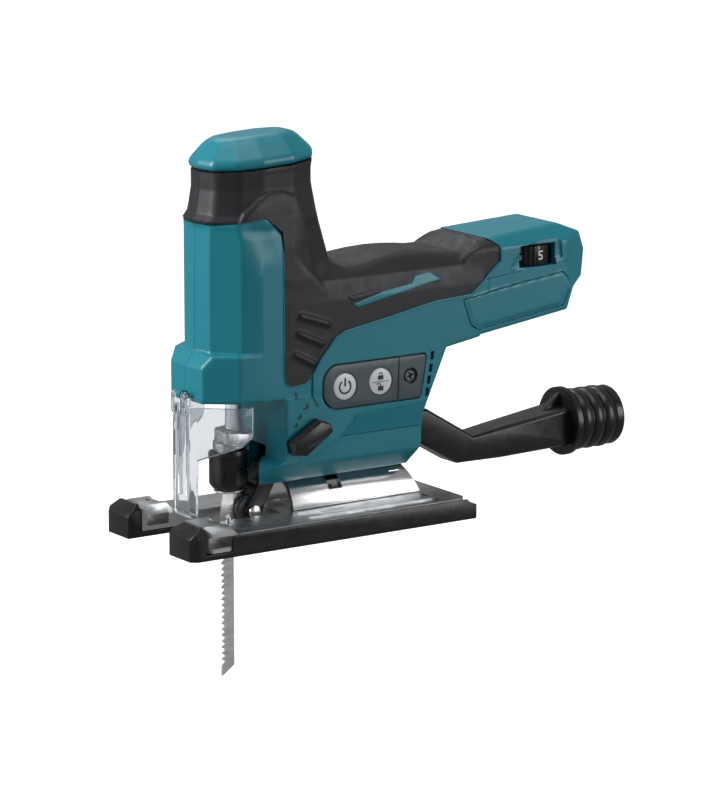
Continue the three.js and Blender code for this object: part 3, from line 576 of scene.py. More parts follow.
BRONZE = Paint("bronze", (0.5, 0.32, 0.13), 0.4, 1.0)
BRONZE.tint(3, 0.4).dull(2, 0.1).grain(0.4, 0.01)
COPPER = Paint("copper_winding", (0.6, 0.24, 0.1), 0.35, 1.0)
COPPER.tint(2, 0.5).dull(2, 0.1).grain(0.8, 0.05, stretch=(0.1, 1, 0.1))
BOARD = Paint("circuit_board", (0.01, 0.09, 0.04), 0.45)
BOARD.tint(2, 0.5, (0.03, 0.16, 0.08)).dull(2, 0.1).grain(0.5, 0.02)
CLEAR = Paint("clear_plastic", (0.6, 0.63, 0.65), 0.06, Transmission_Weight=0.93, IOR=1.3)
CLEAR.dull(6, 0.02).grain(6, 0.01)
FLOOR = Paint("pale_floor", (0.4, 0.4, 0.41), 0.6, Emission_Color=(1, 1, 1, 1), Emission_Strength=0.84)
FLOOR.tint(200, 0.05).dull(60, 0.05).grain(3, 0.01)


# ---- Camera, light and floor ----
CAMERA_AZIMUTH = math.radians(55.9)
CAMERA_ELEVATION = math.radians(11.9)
CAMERA_PLACE = (1572.69, -989.81, 455.21)
CAMERA_LENS = 184.905
FLOOR_R = 12000
WALL_TOP = 9000


def make_camera():
    level = math.cos(CAMERA_ELEVATION)
    forward = Vector((
        -math.sin(CAMERA_AZIMUTH) * level, math.cos(CAMERA_AZIMUTH) * level, -math.sin(CAMERA_ELEVATION),
    ))
    camera = bpy.data.objects.new("camera", bpy.data.cameras.new("camera"))
    bpy.context.scene.collection.objects.link(camera)
    camera.location = Vector(CAMERA_PLACE) * MM
    camera.rotation_euler = forward.to_track_quat("-Z", "Y").to_euler()
    camera.data.sensor_fit = "AUTO"
    camera.data.sensor_width = 36
    camera.data.lens = CAMERA_LENS
    camera.data.clip_start = 0.05
    camera.data.clip_end = 50
    bpy.context.scene.camera = camera


def softbox(name, place, aim, size, power, colour=(1, 1, 1)):
    light = bpy.data.lights.new(name, "AREA")
    light.shape = "RECTANGLE"
    light.size, light.size_y = size
    light.energy = power
    light.color = colour
    obj = bpy.data.objects.new(name, light)
    bpy.context.scene.collection.objects.link(obj)
    obj.location = place
    obj.rotation_euler = (Vector(aim) - Vector(place)).to_track_quat("-Z", "Y").to_euler()


def make_studio():
    softbox("key_light", (-0.6, -1.5, 0.8), (0, 0.05, 0.06), (0.7, 1.1), 42)
    softbox("side_light", (1.4, 1.1, 0.45), (0, 0.05, 0.06), (0.7, 0.9), 12)
    softbox("top_light", (0.2, 0.1, 1.6), (0, 0.05, 0.05), (1.2, 1.2), 11)
    softbox("back_light", (-1.2, 0.5, 1.5), (0, 0.05, 0.06), (0.8, 0.8), 6)
    world = bpy.data.worlds.new("world")
    bpy.context.scene.world = world
    world.use_nodes = True
    background = world.node_tree.nodes["Background"]
    background.inputs["Color"].default_value = (1, 1, 1, 1)
    background.inputs["Strength"].default_value = 0.28
    bpy.context.scene.view_settings.view_transform = "Standard"
    floor = cylinder("z", FLOOR_R, FLOOR_Z - 5, FLOOR_Z, sides=96)
    outside = [(FLOOR_R + 1000, FLOOR_Z), (FLOOR_R + 1000, WALL_TOP)]
    inside = [(FLOOR_R + 900, WALL_TOP), (FLOOR_R + 500, FLOOR_Z + 500)]
    wall = turned([(FLOOR_R - 100, FLOOR_Z), *outside, *inside], sides=96)
    wall.visible_shadow = False
    for name, obj in (("floor", floor), ("backdrop", wall)):
        obj.name = name
        obj.data.transform(Matrix.Scale(MM, 4))
        obj.data.materials.append(FLOOR.material)
        obj.visible_diffuse = False
        obj.visible_glossy = False


# ---- Body ----
STEP_AREA = [(54.4, 54.4), (112, 57.6), (112, 15), (10, 15), (10, 33), (24, 34.5), (34.4, 38.9), (45, 45.3)]
BAND_AREA = [(3.4, 66), (3.4, 139), (-1, 144), (-9, 146.6), (8, 149), (30, 147), (30, 66)]
BADGE_AREA = [
    (116.6, 102.8), (120.2, 91.6), (124.2, 88.9), (172.4, 95.4), (177.6, 104), (173.2, 110),
    (126, 104.6),
]
DIAL_AREA = [(142, 113.4), (150.2, 124), (166.5, 127.8), (172.2, 126.4), (173.6, 117)]


def teal_shape(x, y, z):
    side = np.abs(x)
    body = envelope(x, y, z)
    ramp = 22.9 + 0.17 * np.clip(z - 45, 0, 30)
    step = np.maximum(polygon_distance(y, z, STEP_AREA), np.maximum(23 - side, (ramp - side) * 0.97))
    body = carve(body, step, 0.5)
    band = np.maximum(polygon_distance(y, z, BAND_AREA), 23.8 - side)
    body = carve(body, band, 0.4)
    badge = meet([polygon_distance(y, z, BADGE_AREA), side - 24.8, 20 - side], 0.5)
    body = fuse(body, badge, 0.5)
    pocket = np.maximum(polygon_distance(y, z, DIAL_AREA), 22.6 - side)
    return carve(body, pocket, 0.5)


GRIP_RIBS = (((23.8, 104.4), (38.6, 99.4)), ((22.6, 96.4), (35, 90.6)), ((20.7, 86.8), (30.4, 81.6)))


def rubber_shape(x, y, z):
    side = np.abs(x)
    body = fuse(envelope(x, y, z, 3), lump(x, y, z, HUMP, 2.2), 1)
    for (y0, z0), (y1, z1) in GRIP_RIBS:
        dy, dz = y1 - y0, z1 - z0
        t = np.clip(((y - y0) * dy + (z - z0) * dz) / (dy * dy + dz * dz), 0, 1)
        rib = np.sqrt((y - y0 - t * dy) ** 2 + (z - z0 - t * dz) ** 2 + (side - 23.7) ** 2) - 1.7
        body = fuse(body, rib, 0.8)
    return body


def half(obj, side):
    seam = 0.1
    reach = (seam, 60) if side == "left" else (-60, -seam)
    return common(obj, block(reach, (-80, 260), (-80, 260)))


def battery_slide(half_width, low, high, front):
    slot = block((-half_width, half_width), (front, 70), (low, high))
    return shifted(spun(slot, math.degrees(BATTERY_SLOPE), "X"), 0, 115.3, 83.2)


def nozzle_pocket(grow):
    reach = 8.7 + grow
    return block((-reach, reach), (84 - grow, 112), (NOZZLE_Z - reach, NOZZLE_Z + reach))


def panel_outline(depth=0.0):
    (y0, y1), (z0, z1) = PANEL_Y, PANEL_Z
    r = 8
    outline = arc(r, (y0 + r, z0 + r), 180, 270, 12) + arc(1.6, (y1 - 4.6, z0 + 1.6), 270, 355, 5)
    outline += arc(1.6, (y1 - 1.6, z1 - 1.6), 0, 90, 5) + arc(r, (y0 + r, z1 - r), 90, 180, 12)
    return inset(outline, depth) if depth else outline


def body_openings():
    cuts = [
        cylinder("y", ARCH_R + GAP, 5, 120, (0, TILT_Z), 96),
        cylinder("z", 10.3, 60, 72, (0, ROD_Y)),
        block((-10.4, 10.4), (-6, 12), (15, 42)),
        block((-7.2, 7.2), (8, 27), (15, 42)),
        cylinder("x", 2.3, -12.4, 12.4, HOLDER_PIVOT, 32),
        cylinder("z", 3.3, 20, 38, (0, BOLT_Y), 32),
        prism("x", panel_outline(-0.7), 22.2, 40),
        cylinder("x", BUTTON_R + 0.5, 15, 24, POWER_BUTTON),
        cylinder("x", BUTTON_R + 0.5, 15, 24, LOCK_BUTTON),
        cylinder("x", 1.8, 15, 24, PANEL_SCREW, 24),
        cylinder("x", 3.3, 15, 30, LEVER_PIVOT, 32),
        block((17, 30), (148.6, 169.8), (DIAL["low"] - 0.8, DIAL["high"] + 0.8)),
        cylinder("z", 2.9, 60, 75, (13, -6), 32),
        battery_slide(15, -10, 6.4, 3),
        battery_slide(18, 2.2, 6.4, 3),
        nozzle_pocket(0),
    ]
    for centre in HOUSING_SCREWS:
        cuts.append(cylinder("x", 1.9, -30, 13.3, centre, 24))
        cuts.append(cylinder("x", 3.8, -30, -13.7, centre, 32))
    for y, z in ((96.9, 78.1), (96, 72.2), (95, 66.7), (94, 61)):
        vent = prism("x", [(y - 1, z - 2), (y + 0.9, z - 2), (y + 1.3, z + 2), (y - 0.6, z + 2)], 14, 40)
        cuts += [flipped(copy(vent)), vent]
    return cuts


GROOVES = (
    (22.7, 0.55, [(114.8, 102.6), (119.3, 90.2), (123.8, 87.4), (174.4, 94.1), (180, 104.2), (173.7, 110.4),
                  (151.6, 108), (114.8, 102.6)]),
    (22.9, 0.4, [(128.6, 111), (149.3, 113.2)]),
    (22.9, 0.4, [(173.8, 115), (186, 116.2)]),
    (24.2, 0.45, [(54.8, 54.4), (93, 56.2)]),
    (24.2, 0.45, [(54.2, 54.4), (45, 45.3), (34.4, 38.9)]),
    (21.8, 0.45, [(45, 45.3), (92.2, 45.2)]),
    (22.6, 0.45, [(14.3, 39.5), (7.4, 33.4)]),
)


def grooves():
    cutters = []
    for depth_x, width, path in GROOVES:
        for a, b in zip(path, path[1:]):
            cutters.append(prism("x", capsule(a, b, width / 2, 3), depth_x, 30))
    return cutters + [flipped(copy(c)) for c in cutters]


def make_body():
    grip_area = prism("x", GRIP_SIDE, -60, 60)
    shell = cut(skin(teal_shape, (-27, -28, 22), (27, 196, 176), 0.9), grip_area)
    core = skin(lambda x, y, z: envelope(x, y, z, 3) + RUBBER, (-27, -28, 22), (27, 196, 176), 1.8)
    horn = common(
        prism("x", HORN_SIDE, -HALF_BODY, HALF_BODY),
        prism("y", BODY["front"], -10, 40),
        prism("z", HORN_PLAN, 20, 50),
    )
    lug = prism("x", capsule(GUARD_HINGE, (GUARD_HINGE[0] + 3, GUARD_HINGE[1]), 1.9), -1.6, 1.6)
    lug = cut(lug, cylinder("x", 1.05, -5, 5, GUARD_HINGE, 24))
    shell = join(shell, core, bevelled(horn, 1.6), lug)
    cavity = skin(lambda x, y, z: envelope(x, y, z, 3) + WALL, (-27, -28, 22), (27, 196, 172), 2)
    cavity = cut(cavity, battery_slide(18 + 3, -10, 6.4 + 2.4, 0), nozzle_pocket(3))
    shell = cut(shell, cavity, *body_openings(), *grooves())
    for side in ("left", "right"):
        piece("body_shell_" + side, half(copy(shell), side), TEAL.material, "housing", "teal_plastic",
              "housing_" + side)
    bpy.data.objects.remove(shell)

    skin_area = prism("x", inset(GRIP_SIDE, GAP), -60, 60)
    rubber = common(skin(rubber_shape, (-27, -28, 22), (27, 196, 176), 0.9), skin_area)
    under = skin(lambda x, y, z: envelope(x, y, z, 3) + RUBBER - GAP, (-27, -28, 22), (27, 196, 176), 1.8)
    rubber = cut(rubber, under)
    for side in ("left", "right"):
        piece("grip_skin_" + side, half(copy(rubber), side), RUBBER_BLACK.material, "housing", "rubber",
              "grip_" + side)
    bpy.data.objects.remove(rubber)


# ---- Things drawn on or swept over the body ----
def surface(points, side=1, lift=0.0):
    """The points (y, z) of a side view, put on the body: side is 1 on the left and -1 on the right."""
    y, z = np.array(points, float).T
    low, high = np.zeros(len(y)), np.full(len(y), 27.0)
    for _ in range(30):
        middle = (low + high) / 2
        inside = teal_shape(middle, y, z) < 0
        low, high = np.where(inside, middle, low), np.where(inside, high, middle)
    return [Vector((side * (x + lift), v, w)) for x, v, w in zip(low, y, z)]


def resampled(path, step):
    points = []
    for (u0, v0), (u1, v1) in zip(path, path[1:]):
        count = max(1, round(math.hypot(u1 - u0, v1 - v0) / step))
        points += [(u0 + (u1 - u0) * i / count, v0 + (v1 - v0) * i / count) for i in range(count)]
    return points + [path[-1]]


def wire(points, radius, sides=10):
    """A round bar through points."""
    points = [Vector(p) for p in points]
    rings = []
    for i, point in enumerate(points):
        along = (points[min(i + 1, len(points) - 1)] - points[max(i - 1, 0)]).normalized()
        across = along.cross(Vector((1, 0, 0)) if abs(along.x) < 0.9 else Vector((0, 0, 1))).normalized()
        up = along.cross(across)
        rings.append([point + across * u + up * v for u, v in circle(radius, sides=sides)])
    return loft(rings)


def printed(outline, x, depth=0.14):
    return prism("x", outline, x - 0.4, x + depth)


# ---- Cap, trim and switch panel ----
def cap_shape(x, y, z):
    v, w = y - CAP_CENTRE[0], z - CAP_CENTRE[1]
    along = v * math.cos(CAP_TILT) + w * math.sin(CAP_TILT)
    up = -v * math.sin(CAP_TILT) + w * math.cos(CAP_TILT)
    wall = knob_section(x, along, CAP_R, 0.22)
    roof = wall + (up - 5.6) * 0.95
    crown = wall + (up - 12.4) * 2.6
    skirt = wall + (CAP_RIM + 2.4 - up) * 0.5
    return meet([wall, roof * 0.72, crown * 0.36, up - 16.4, CAP_RIM - up, skirt], 2.2)


def make_trim():
    cap = skin(cap_shape, (-25, -22, 168), (25, 48, 192), 0.7)
    piece("grip_cap", cap, TEAL.material, "housing", "teal_plastic", "knob_cap")
    border = resampled([*GRIP_SIDE[-1:], *GRIP_SIDE[:14]], 1.2)
    lips = [wire(surface(border, side, -0.1), 0.5, 8) for side in (1, -1)]
    piece("rubber_border_lip", together(lips), TEAL.material, "housing", "teal_plastic")
    inlay = [
        (52.1, 107.1), (55, 105.4), (83, 110.4), (87.4, 111.3), (102.1, 113.8), (96, 117.9),
        (87.3, 116.6), (85.4, 113.6), (80.8, 112.9), (69, 111.4),
    ]
    ridge = [(49.2, 110.8), (65.8, 112.9), (69, 111.2), (52.4, 108.6)]
    for name, area, paint, slot in (
        ("grip_inlay", inlay, TEAL, "teal_plastic"),
        ("grip_ridge", ridge, RUBBER_BLACK, "rubber"),
    ):
        def raised(x, y, z, area=area):
            return meet([envelope(x, y, z, 3) - 0.7, outline_distance(y, z, area, 0.3), 20 - x], 0.4)

        low = (19, min(y for y, z in area) - 1, min(z for y, z in area) - 1)
        high = (27, max(y for y, z in area) + 1, max(z for y, z in area) + 1)
        left = skin(raised, low, high, 0.45)
        piece(name, together([flipped(copy(left)), left]), paint.material, "housing", slot)


def padlock(y, z, is_open):
    case = printed(rounded_box(y - 1.5, y + 1.5, z - 1.3, z + 0.8, 0.25, 2), 25.6)
    turn = (10, 170) if not is_open else (-25, 150)
    centre = (y, z + 1) if not is_open else (y - 1.1, z + 1.2)
    shackle = arc(1.2, centre, turn[0], turn[1], 10) + arc(0.75, centre, turn[1], turn[0], 10)
    return [case, printed(shackle, 25.6)]


def button(centre):
    r = BUTTON_R + 0.2
    profile = [(0.01, 20.2), (r, 20.2), (r, 25.3), (r - 0.15, 25.5), (r - 0.4, 25.6), (0.01, 25.6)]
    return turned(profile, "x", centre, 64)


def make_panel():
    holes = [cylinder("x", BUTTON_R + 0.45, 20, 30, c, 64) for c in (POWER_BUTTON, LOCK_BUTTON)]
    wells = [cylinder("x", BUTTON_R + 1.1, 24.9, 30, c, 64) for c in (POWER_BUTTON, LOCK_BUTTON)]
    screw_well = [cylinder("x", 4, 23.4, 30, PANEL_SCREW), cylinder("x", 1.7, 20, 30, PANEL_SCREW, 24)]
    divider = prism("x", [(76.7, 58), (77.3, 58), (78.1, 80), (77.5, 80)], 24.6, 30)
    panel = bevelled(prism("x", panel_outline(), 22.5, 25.2), 0.5)
    panel = cut(panel, *holes, *wells, *screw_well, divider)
    piece("button_panel", panel, PANEL_GREY.material, "housing", "grey_plastic", "switch_panel")
    piece("button_power", button(POWER_BUTTON), PALE.material, "power_key", "pale_plastic", "power_button")
    piece("button_lock", button(LOCK_BUTTON), PALE.material, "lock_key", "grey_plastic", "lock_button")
    y, z = POWER_BUTTON
    symbol = arc(3.5, (y, z), 125, 415, 40) + arc(2.7, (y, z), 415, 125, 40)
    bar = rectangle(y - 0.42, y + 0.42, z + 0.2, z + 4.2)
    piece("power_symbol", together([printed(symbol, 25.6), printed(bar, 25.6)]), INK.material, "power_key",
          "black_plastic")
    y, z = LOCK_BUTTON
    line = printed(rectangle(y - 4.6, y + 4.6, z - 0.14, z + 0.14), 25.6)
    marks = [line, *padlock(y, z + 2.2, False), *padlock(y, z - 3, True)]
    piece("lock_symbols", together(marks), INK.material, "lock_key", "black_plastic")


def screw(name, node, centre, head_r, shank_r, head_x, tip_x):
    """A cross-recess screw along X."""
    inward = math.copysign(1, tip_x - head_x)
    profile = [(0.01, 0), (head_r - 0.5, 0), (head_r, 0.5), (head_r, 2.2), (shank_r, 2.2)]
    length = abs(tip_x - head_x)
    profile += [(shank_r, length - 1), (0.01, length)]
    body = turned([(r, head_x + inward * h) for r, h in profile], "x", centre, 32)
    (y, z), (x0, x1) = centre, sorted((head_x - inward, head_x + inward * 1.3))
    cross = [block((x0, x1), (y - u, y + u), (z - v, z + v)) for u, v in ((0.45, 1.9), (1.9, 0.45))]
    cut(body, *[spun(bar, 20, "X", (0, y, z)) for bar in cross])
    piece(name, body, DARK_STEEL.material, "housing", "dark_steel", node)


def make_screws():
    screw("panel_cross_screw", "panel_screw", PANEL_SCREW, 3, 1.4, 24.6, 16.5)
    for i, centre in enumerate(HOUSING_SCREWS, 1):
        screw(f"shell_cross_screw_{i}", f"housing_screw_{i}", centre, 3.3, 1.5, -16.4, 13)


# ---- Lever and dial ----
def make_lever():
    outline = [(14.4, 46.6), (16.2, 41.4), (24.4, 39.3), (38.3, 49.2), (36.7, 53.7), (30.5, 56.1)]
    ridge = [(15.4, 46.4), (17, 42.6), (23.1, 44.4), (36.8, 50), (35.8, 53), (30.6, 55)]
    foot = prism("x", outline, HALF_BODY + 0.4, 28)
    handle = loft([[(x, y, z) for y, z in shape] for x, shape in ((27.8, outline), (31, ridge))])
    handle = bevelled(join(foot, handle), 0.6)
    piece("action_lever", handle, BLACK.material, "lever", "black_plastic", "orbital_lever")


def make_marks():
    """Settings beside the lever: a brace, three crescents that grow, and an index line."""
    solids = []
    for (y, z), r in (((26, 62), 1.5), ((22.3, 57.7), 1.35), ((20.3, 53.9), 1.2)):
        x = surface([(y, z)])[0].x
        bite = cylinder("x", r * 0.75, 10, 30, (y - 0.6, z + 0.5), 24)
        solids.append(cut(printed(circle(r, (y, z), 24), x, 0.2), bite))
    brace = [(20.3, 69.2), (22.3, 68), (21.4, 67.2), (22, 65.4), (20.4, 64.8), (21, 67)]
    index = [(29.7, 65.5), (30.3, 65.7), (33.2, 61.3), (32.6, 61)]
    for shape in (brace, index):
        solids.append(printed(shape, surface([shape[0]])[0].x, 0.2))
    piece("lever_settings", together(solids), INK.material, "housing", "black_plastic")


DIGITS = {
    1: [[(0, 1), (0, -1)]],
    2: [[(-0.6, 1), (0.6, 1), (0.6, 0), (-0.6, 0), (-0.6, -1), (0.6, -1)]],
    3: [[(-0.6, 1), (0.6, 1), (0.6, -1), (-0.6, -1)], [(-0.3, 0), (0.6, 0)]],
    4: [[(-0.6, 1), (-0.6, 0), (0.6, 0)], [(0.6, 1), (0.6, -1)]],
    5: [[(0.6, 1), (-0.6, 1), (-0.6, 0), (0.6, 0), (0.6, -1), (-0.6, -1)]],
    6: [[(0.6, 1), (-0.6, 1), (-0.6, -1), (0.6, -1), (0.6, 0), (-0.6, 0)]],
}


def make_dial():
    x, y, r = DIAL["x"], DIAL["y"], DIAL["r"]
    middle = (DIAL["low"] + DIAL["high"]) / 2
    ribs = 30
    rim = []
    for i in range(ribs):
        a = i * 360 / ribs
        plain = i % 5 < 2
        rim += arc(r, (x, y), a - 3.6, a + 3.6, 2) if not plain else arc(r - 0.5, (x, y), a - 6, a + 6, 3)
        rim += arc(r - 0.8, (x, y), a + 4.4, a + 7.6, 1) if not plain else []
    wheel = bevelled(prism("z", rim, DIAL["low"], DIAL["high"]), 0.3, 2)
    wheel = cut(wheel, cylinder("z", 2, DIAL["low"] - 1, DIAL["low"] + 6, (x, y), 24))
    piece("speed_wheel", wheel, BLACK.material, "dial", "black_plastic", "speed_dial")
    solids = []
    for number, strokes in DIGITS.items():
        turn = 6 + 60 * (5 - number)
        for stroke in strokes:
            for a, b in zip(stroke, stroke[1:]):
                a, b = [(u * 1.6, v * 1.8 + middle) for u, v in (a, b)]
                bar = shifted(prism("x", capsule(a, b, 0.3, 3), r - 1, r - 0.35), x, y, 0)
                solids.append(spun(bar, turn, "Z", (x, y, 0)))
    piece("speed_numbers", together(solids), WHITE_INK.material, "dial", "black_plastic")


# ---- Blade, clamp and roller ----
def make_blade():
    outline = [
        (BLADE_BACK, -62.8), (BLADE_BACK, 24), (BLADE_BACK - 0.4, 28), (BLADE_BACK, 29), (BLADE_BACK, 32.5),
        (0.6, 33), (0.6, 38), (-3, 38), (-3, 33), (-5.4, 32.5), (-5.4, 29), (-3.8, 28), (-4.4, 20),
        (BLADE_FRONT, 13), (BLADE_FRONT, 8),
    ]
    z = 6.5
    while z > BLADE_TIP_Z + 2 * TOOTH_PITCH:
        outline += [(BLADE_FRONT + 1.75, z - 0.75), (BLADE_FRONT + 1.5, z - 1.3)]
        outline.append((BLADE_FRONT, z - TOOTH_PITCH + 0.2))
        z -= TOOTH_PITCH
    outline.append((BLADE_FRONT, BLADE_TIP_Z))
    blade = prism("x", outline, -BLADE_THICK / 2 + 0.15, BLADE_THICK / 2 - 0.15)
    for vertex in blade.data.vertices:
        if vertex.co.y < BLADE_FRONT + 0.1 and BLADE_TIP_Z + 1 < vertex.co.z < 6:
            vertex.co.x += 0.22 * (-1) ** round((6.5 - vertex.co.z) / TOOTH_PITCH)
    piece("saw_blade", blade, BLADE_STEEL.material, "plunger", "steel", "blade", crease=20)


def make_clamp():
    sleeve = turned([
        (5.7, 22.5), (6.9, 22.5), (7.5, 22.9), (8.8, 24.7), (9, 25.2), (9, 37.4), (8.8, 37.6),
        (8.8, 38.2), (9, 38.4), (9, 40.2), (8.6, 41), (7.6, 41), (7.6, 24.8), (5.7, 24.8),
    ], "z", (0, CLAMP_Y), 96)
    piece("clamp_twist_sleeve", sleeve, BLACK.material, "sleeve", "black_plastic", "clamp_sleeve")
    stem = cylinder("z", 5, 29.5, 42, (0, CLAMP_Y), 64)
    collar = bevelled(cylinder("z", 6.8, 41.4, 45, (0, CLAMP_Y), 64), 0.5)
    head = bevelled(prism("z", rounded_box(-5.5, 5.5, CLAMP_Y - 4.4, CLAMP_Y + 9, 1.5), 41.4, 49.5), 0.5)
    slot = block((-0.95, 0.95), (CLAMP_Y - 8, CLAMP_Y + 8), (20, 39))
    body = cut(join(stem, collar, head), slot)
    piece("clamp_body", body, STEEL.material, "plunger", "steel", "blade_clamp")
    turns = [math.radians(i * 12) for i in range(91)]
    coil = [(6.2 * math.cos(t), 6.2 * math.sin(t) + CLAMP_Y, 30.5 + 8.5 * t / turns[-1]) for t in turns]
    piece("clamp_coil", wire(coil, 0.6, 12), STEEL.material, "plunger", "steel", "clamp_spring")
    ring = [(5.6, 20.9), (6.5, 20.9), (6.9, 21.3), (6.9, 21.9), (6.6, 22.2), (5.6, 22.2)]
    ring = turned(ring, "z", (0, CLAMP_Y), 64)
    piece("clamp_snap_ring", ring, BRIGHT.material, "plunger", "bright_metal", "clamp_ring")


def make_roller():
    r = ROLLER_R
    half_profile = [(2.4, 3.9), (r - 1, 3.9), (r - 0.2, 3.5), (r, 3), (r, 1.5), (r - 0.9, 1.1)]
    profile = half_profile + [(u, -v) for u, v in reversed(half_profile)]
    wheel = turned(profile, "x", ROLLER, 72)
    piece("blade_roller", wheel, GREY.material, "roller_wheel", "grey_plastic", "roller")
    arm = prism("x", capsule(ROLLER, HOLDER_PIVOT, 4.2, 24), 4.2, 6.4)
    arms = both_sides(bevelled(arm, 0.5))
    bridge = bevelled(prism("x", capsule((16, 24), HOLDER_PIVOT, 4.2, 24), -5, 5), 0.5)
    holes = [cylinder("x", 2.3, -10, 10, c) for c in (HOLDER_PIVOT, ROLLER)]
    fork = cut(join(arms, bridge), *holes)
    piece("roller_fork", fork, BLACK.material, "fork", "grey_plastic", "roller_holder")
    half_pin = [(0.01, 8.2), (2.3, 8.2), (2.9, 7.9), (3.1, 7.4), (3.1, 6.7), (2, 6.7)]
    pin = turned(half_pin + [(u, -v) for u, v in reversed(half_pin)], "x", ROLLER, 48)
    piece("roller_rivet", pin, BRIGHT.material, "fork", "bright_metal", "roller_pin")


# ---- Guard ----
def make_guard():
    wall = 1.6
    outer = [(21.8, -1), (21.8, -7.4), (21.4, -8.3), (8.6, -23.1), (8.3, -25), (7.6, -26.2), (6.8, -26.4)]
    inner = [(x - wall, y if y == -1 else y + wall * 0.6) for x, y in outer]
    plan = outer + [(-x, y) for x, y in reversed(outer)] + [(-x, y) for x, y in inner] + inner[::-1]
    side = [
        *arc(2, (-24.6, 14.4), 180, 270, 6), (-23, 12.4), (-22.6, 39.4), (-6, 46.8),
        *arc(4, (-5, 52), 300, 360, 6), (-1, 64), (-26.6, 64),
    ]
    sheet = common(prism("z", plan, 10, 66), prism("x", side, -60, 60))
    rib = bevelled(block((2.6, 3.8), (-25.6, -23.6), (22, 63.8)), 0.3)
    y, z = GUARD_HINGE
    tab = prism("x", capsule((y, 62), (y, z), 1.8), 2.2, 5.6)
    hinges = cut(both_sides(tab), cylinder("x", 1.05, -8, 8, GUARD_HINGE, 24))
    floor = block((-7.4, 7.4), (-26, -23.2), (12.4, 14.4))
    guard = bevelled(join(sheet, hinges, floor), 0.25, 2)
    guard = join(guard, both_sides(rib))
    piece("clear_guard", guard, CLEAR.material, "guard_cover", "clear_plastic", "guard")
    pin = [(0.01, -6.6), (0.6, -6.6), (0.8, -6.4), (0.8, 6.4), (0.6, 6.6), (0.01, 6.6)]
    pin = turned(pin, "x", GUARD_HINGE, 24)
    piece("guard_hinge_pin", pin, STEEL.material, "housing", "steel", "guard_pin")


# ---- Base ----
def throat(half_width):
    front = block((-PRONG_INNER, PRONG_INNER), (-60, -20), (-5, 30))
    taper = mirrored([(PRONG_INNER, -21), (PRONG_INNER, -20), (half_width, -14), (half_width, 19.5)])
    return [front, prism("z", taper, -5, 30), block((-10.8, 10.8), (30, 88), (-5, 30))]


def base_plate():
    edge = BASE_HALF - 1.3
    plan = mirrored([(edge - 4, PRONG_FRONT), (edge, PRONG_FRONT + 4), (edge, 105), (edge - 4, 109)])
    low = SOLE_TOP + GAP
    side = [
        (PRONG_FRONT, low), (PRONG_FRONT, 13.6), (PRONG_FRONT + 2, 15), (-24, 15), (-19.6, PLATE_TOP),
        (-15, PLATE_TOP - 2), (-15, low),
    ]
    front = mirrored([(edge, 0), (edge, 11.8), (edge - 3.2, 15)])
    prongs = common(prism("x", side, -edge, edge), prism("z", plan, 0, 40), prism("y", front, -60, 0))
    plate = join(prism("z", plan, low, PLATE_TOP), prongs)
    plate = bevelled(cut(plate, *throat(THROAT_HALF)), 0.6)
    rule_slot = block((-60, 60), (-34.2, -22.6), (5, 10))
    web_pocket = [(-21, 11.2), (-25.4, 14), (-25.4, 18), (-12, 18), (-12, 11.2)]
    cutters = [rule_slot]
    for x in (27, -27):
        cutters.append(cylinder("z", 1.4, 11, 20, (x, -28.4), 24))
        cutters.append(prism("x", web_pocket, x - 5.6, x + 5.6))
    for x in (21.5, -21.5, 31.5, -31.5):
        cutters.append(prism("z", rounded_box(x - 3.2, x + 3.2, 24, 96, 1.2), PLATE_TOP - 0.8, 20))
    return cut(plate, *cutters)


def bevel_arch():
    low = PLATE_TOP + GAP
    hollow = cylinder("y", ARCH_R - 3, 10, 110, (0, TILT_Z), 128)
    tube = cut(cylinder("y", ARCH_R, 20, 100, (0, TILT_Z), 128), hollow)
    side = [(25, low), (97, low), (89, 27), (25, 27)]
    slot = [(0, TILT_Z), (22, 22.4), (22, 45), (-22, 45), (-22, 22.4)]
    arch = bevelled(common(tube, prism("x", side, -60, 60)), 0.4)
    arch = cut(arch, prism("y", slot, BOLT_Y - 3.8, BOLT_Y + 3.8))
    ticks = []
    for i in range(-3, 4):
        tick = block((-0.2, 0.2), (84 - 2 * (i % 3 == 0), 88), (TILT_Z + ARCH_R - 0.25, 40))
        ticks.append(spun(tick, 15 * i, "Y", (0, 0, TILT_Z)))
    return cut(arch, *ticks)


def sole():
    plan = mirrored([
        (36, TOE_FRONT), (BASE_HALF, TOE_FRONT + 3), (BASE_HALF, BASE_REAR - 2), (36, BASE_REAR),
    ])
    rail_side = [(-22.8, 0), (-22.8, 8.8), (-21.6, 10), (108, 10), (112, 6.4), (112, 0)]
    rail = prism("x", rail_side, BASE_HALF - 1, BASE_HALF)
    lip = common(block((-BASE_HALF, BASE_HALF), (109.4, BASE_REAR), (0, 6.4)), prism("z", plan, 0, 30))
    front = PRONG_FRONT - GAP
    toe_side = [
        (TOE_FRONT, 0), (TOE_FRONT, 10.4), (TOE_FRONT + 1.4, 12.2), (front - 1.4, 15.5),
        (front, 15.5), (front, 0),
    ]
    toes = common(prism("x", toe_side, -BASE_HALF, BASE_HALF), prism("z", plan, 0, 30))
    crown = mirrored([(BASE_HALF, -1), (BASE_HALF, 10.6), (35.4, 15.6), (21, 15.6), (PRONG_INNER, 12.6)])
    toes = common(toes, prism("y", crown, -60, 0))
    whole = join(prism("z", plan, 0, SOLE_TOP), both_sides(rail), lip, toes)
    return bevelled(cut(whole, *throat(THROAT_HALF)), 0.5)


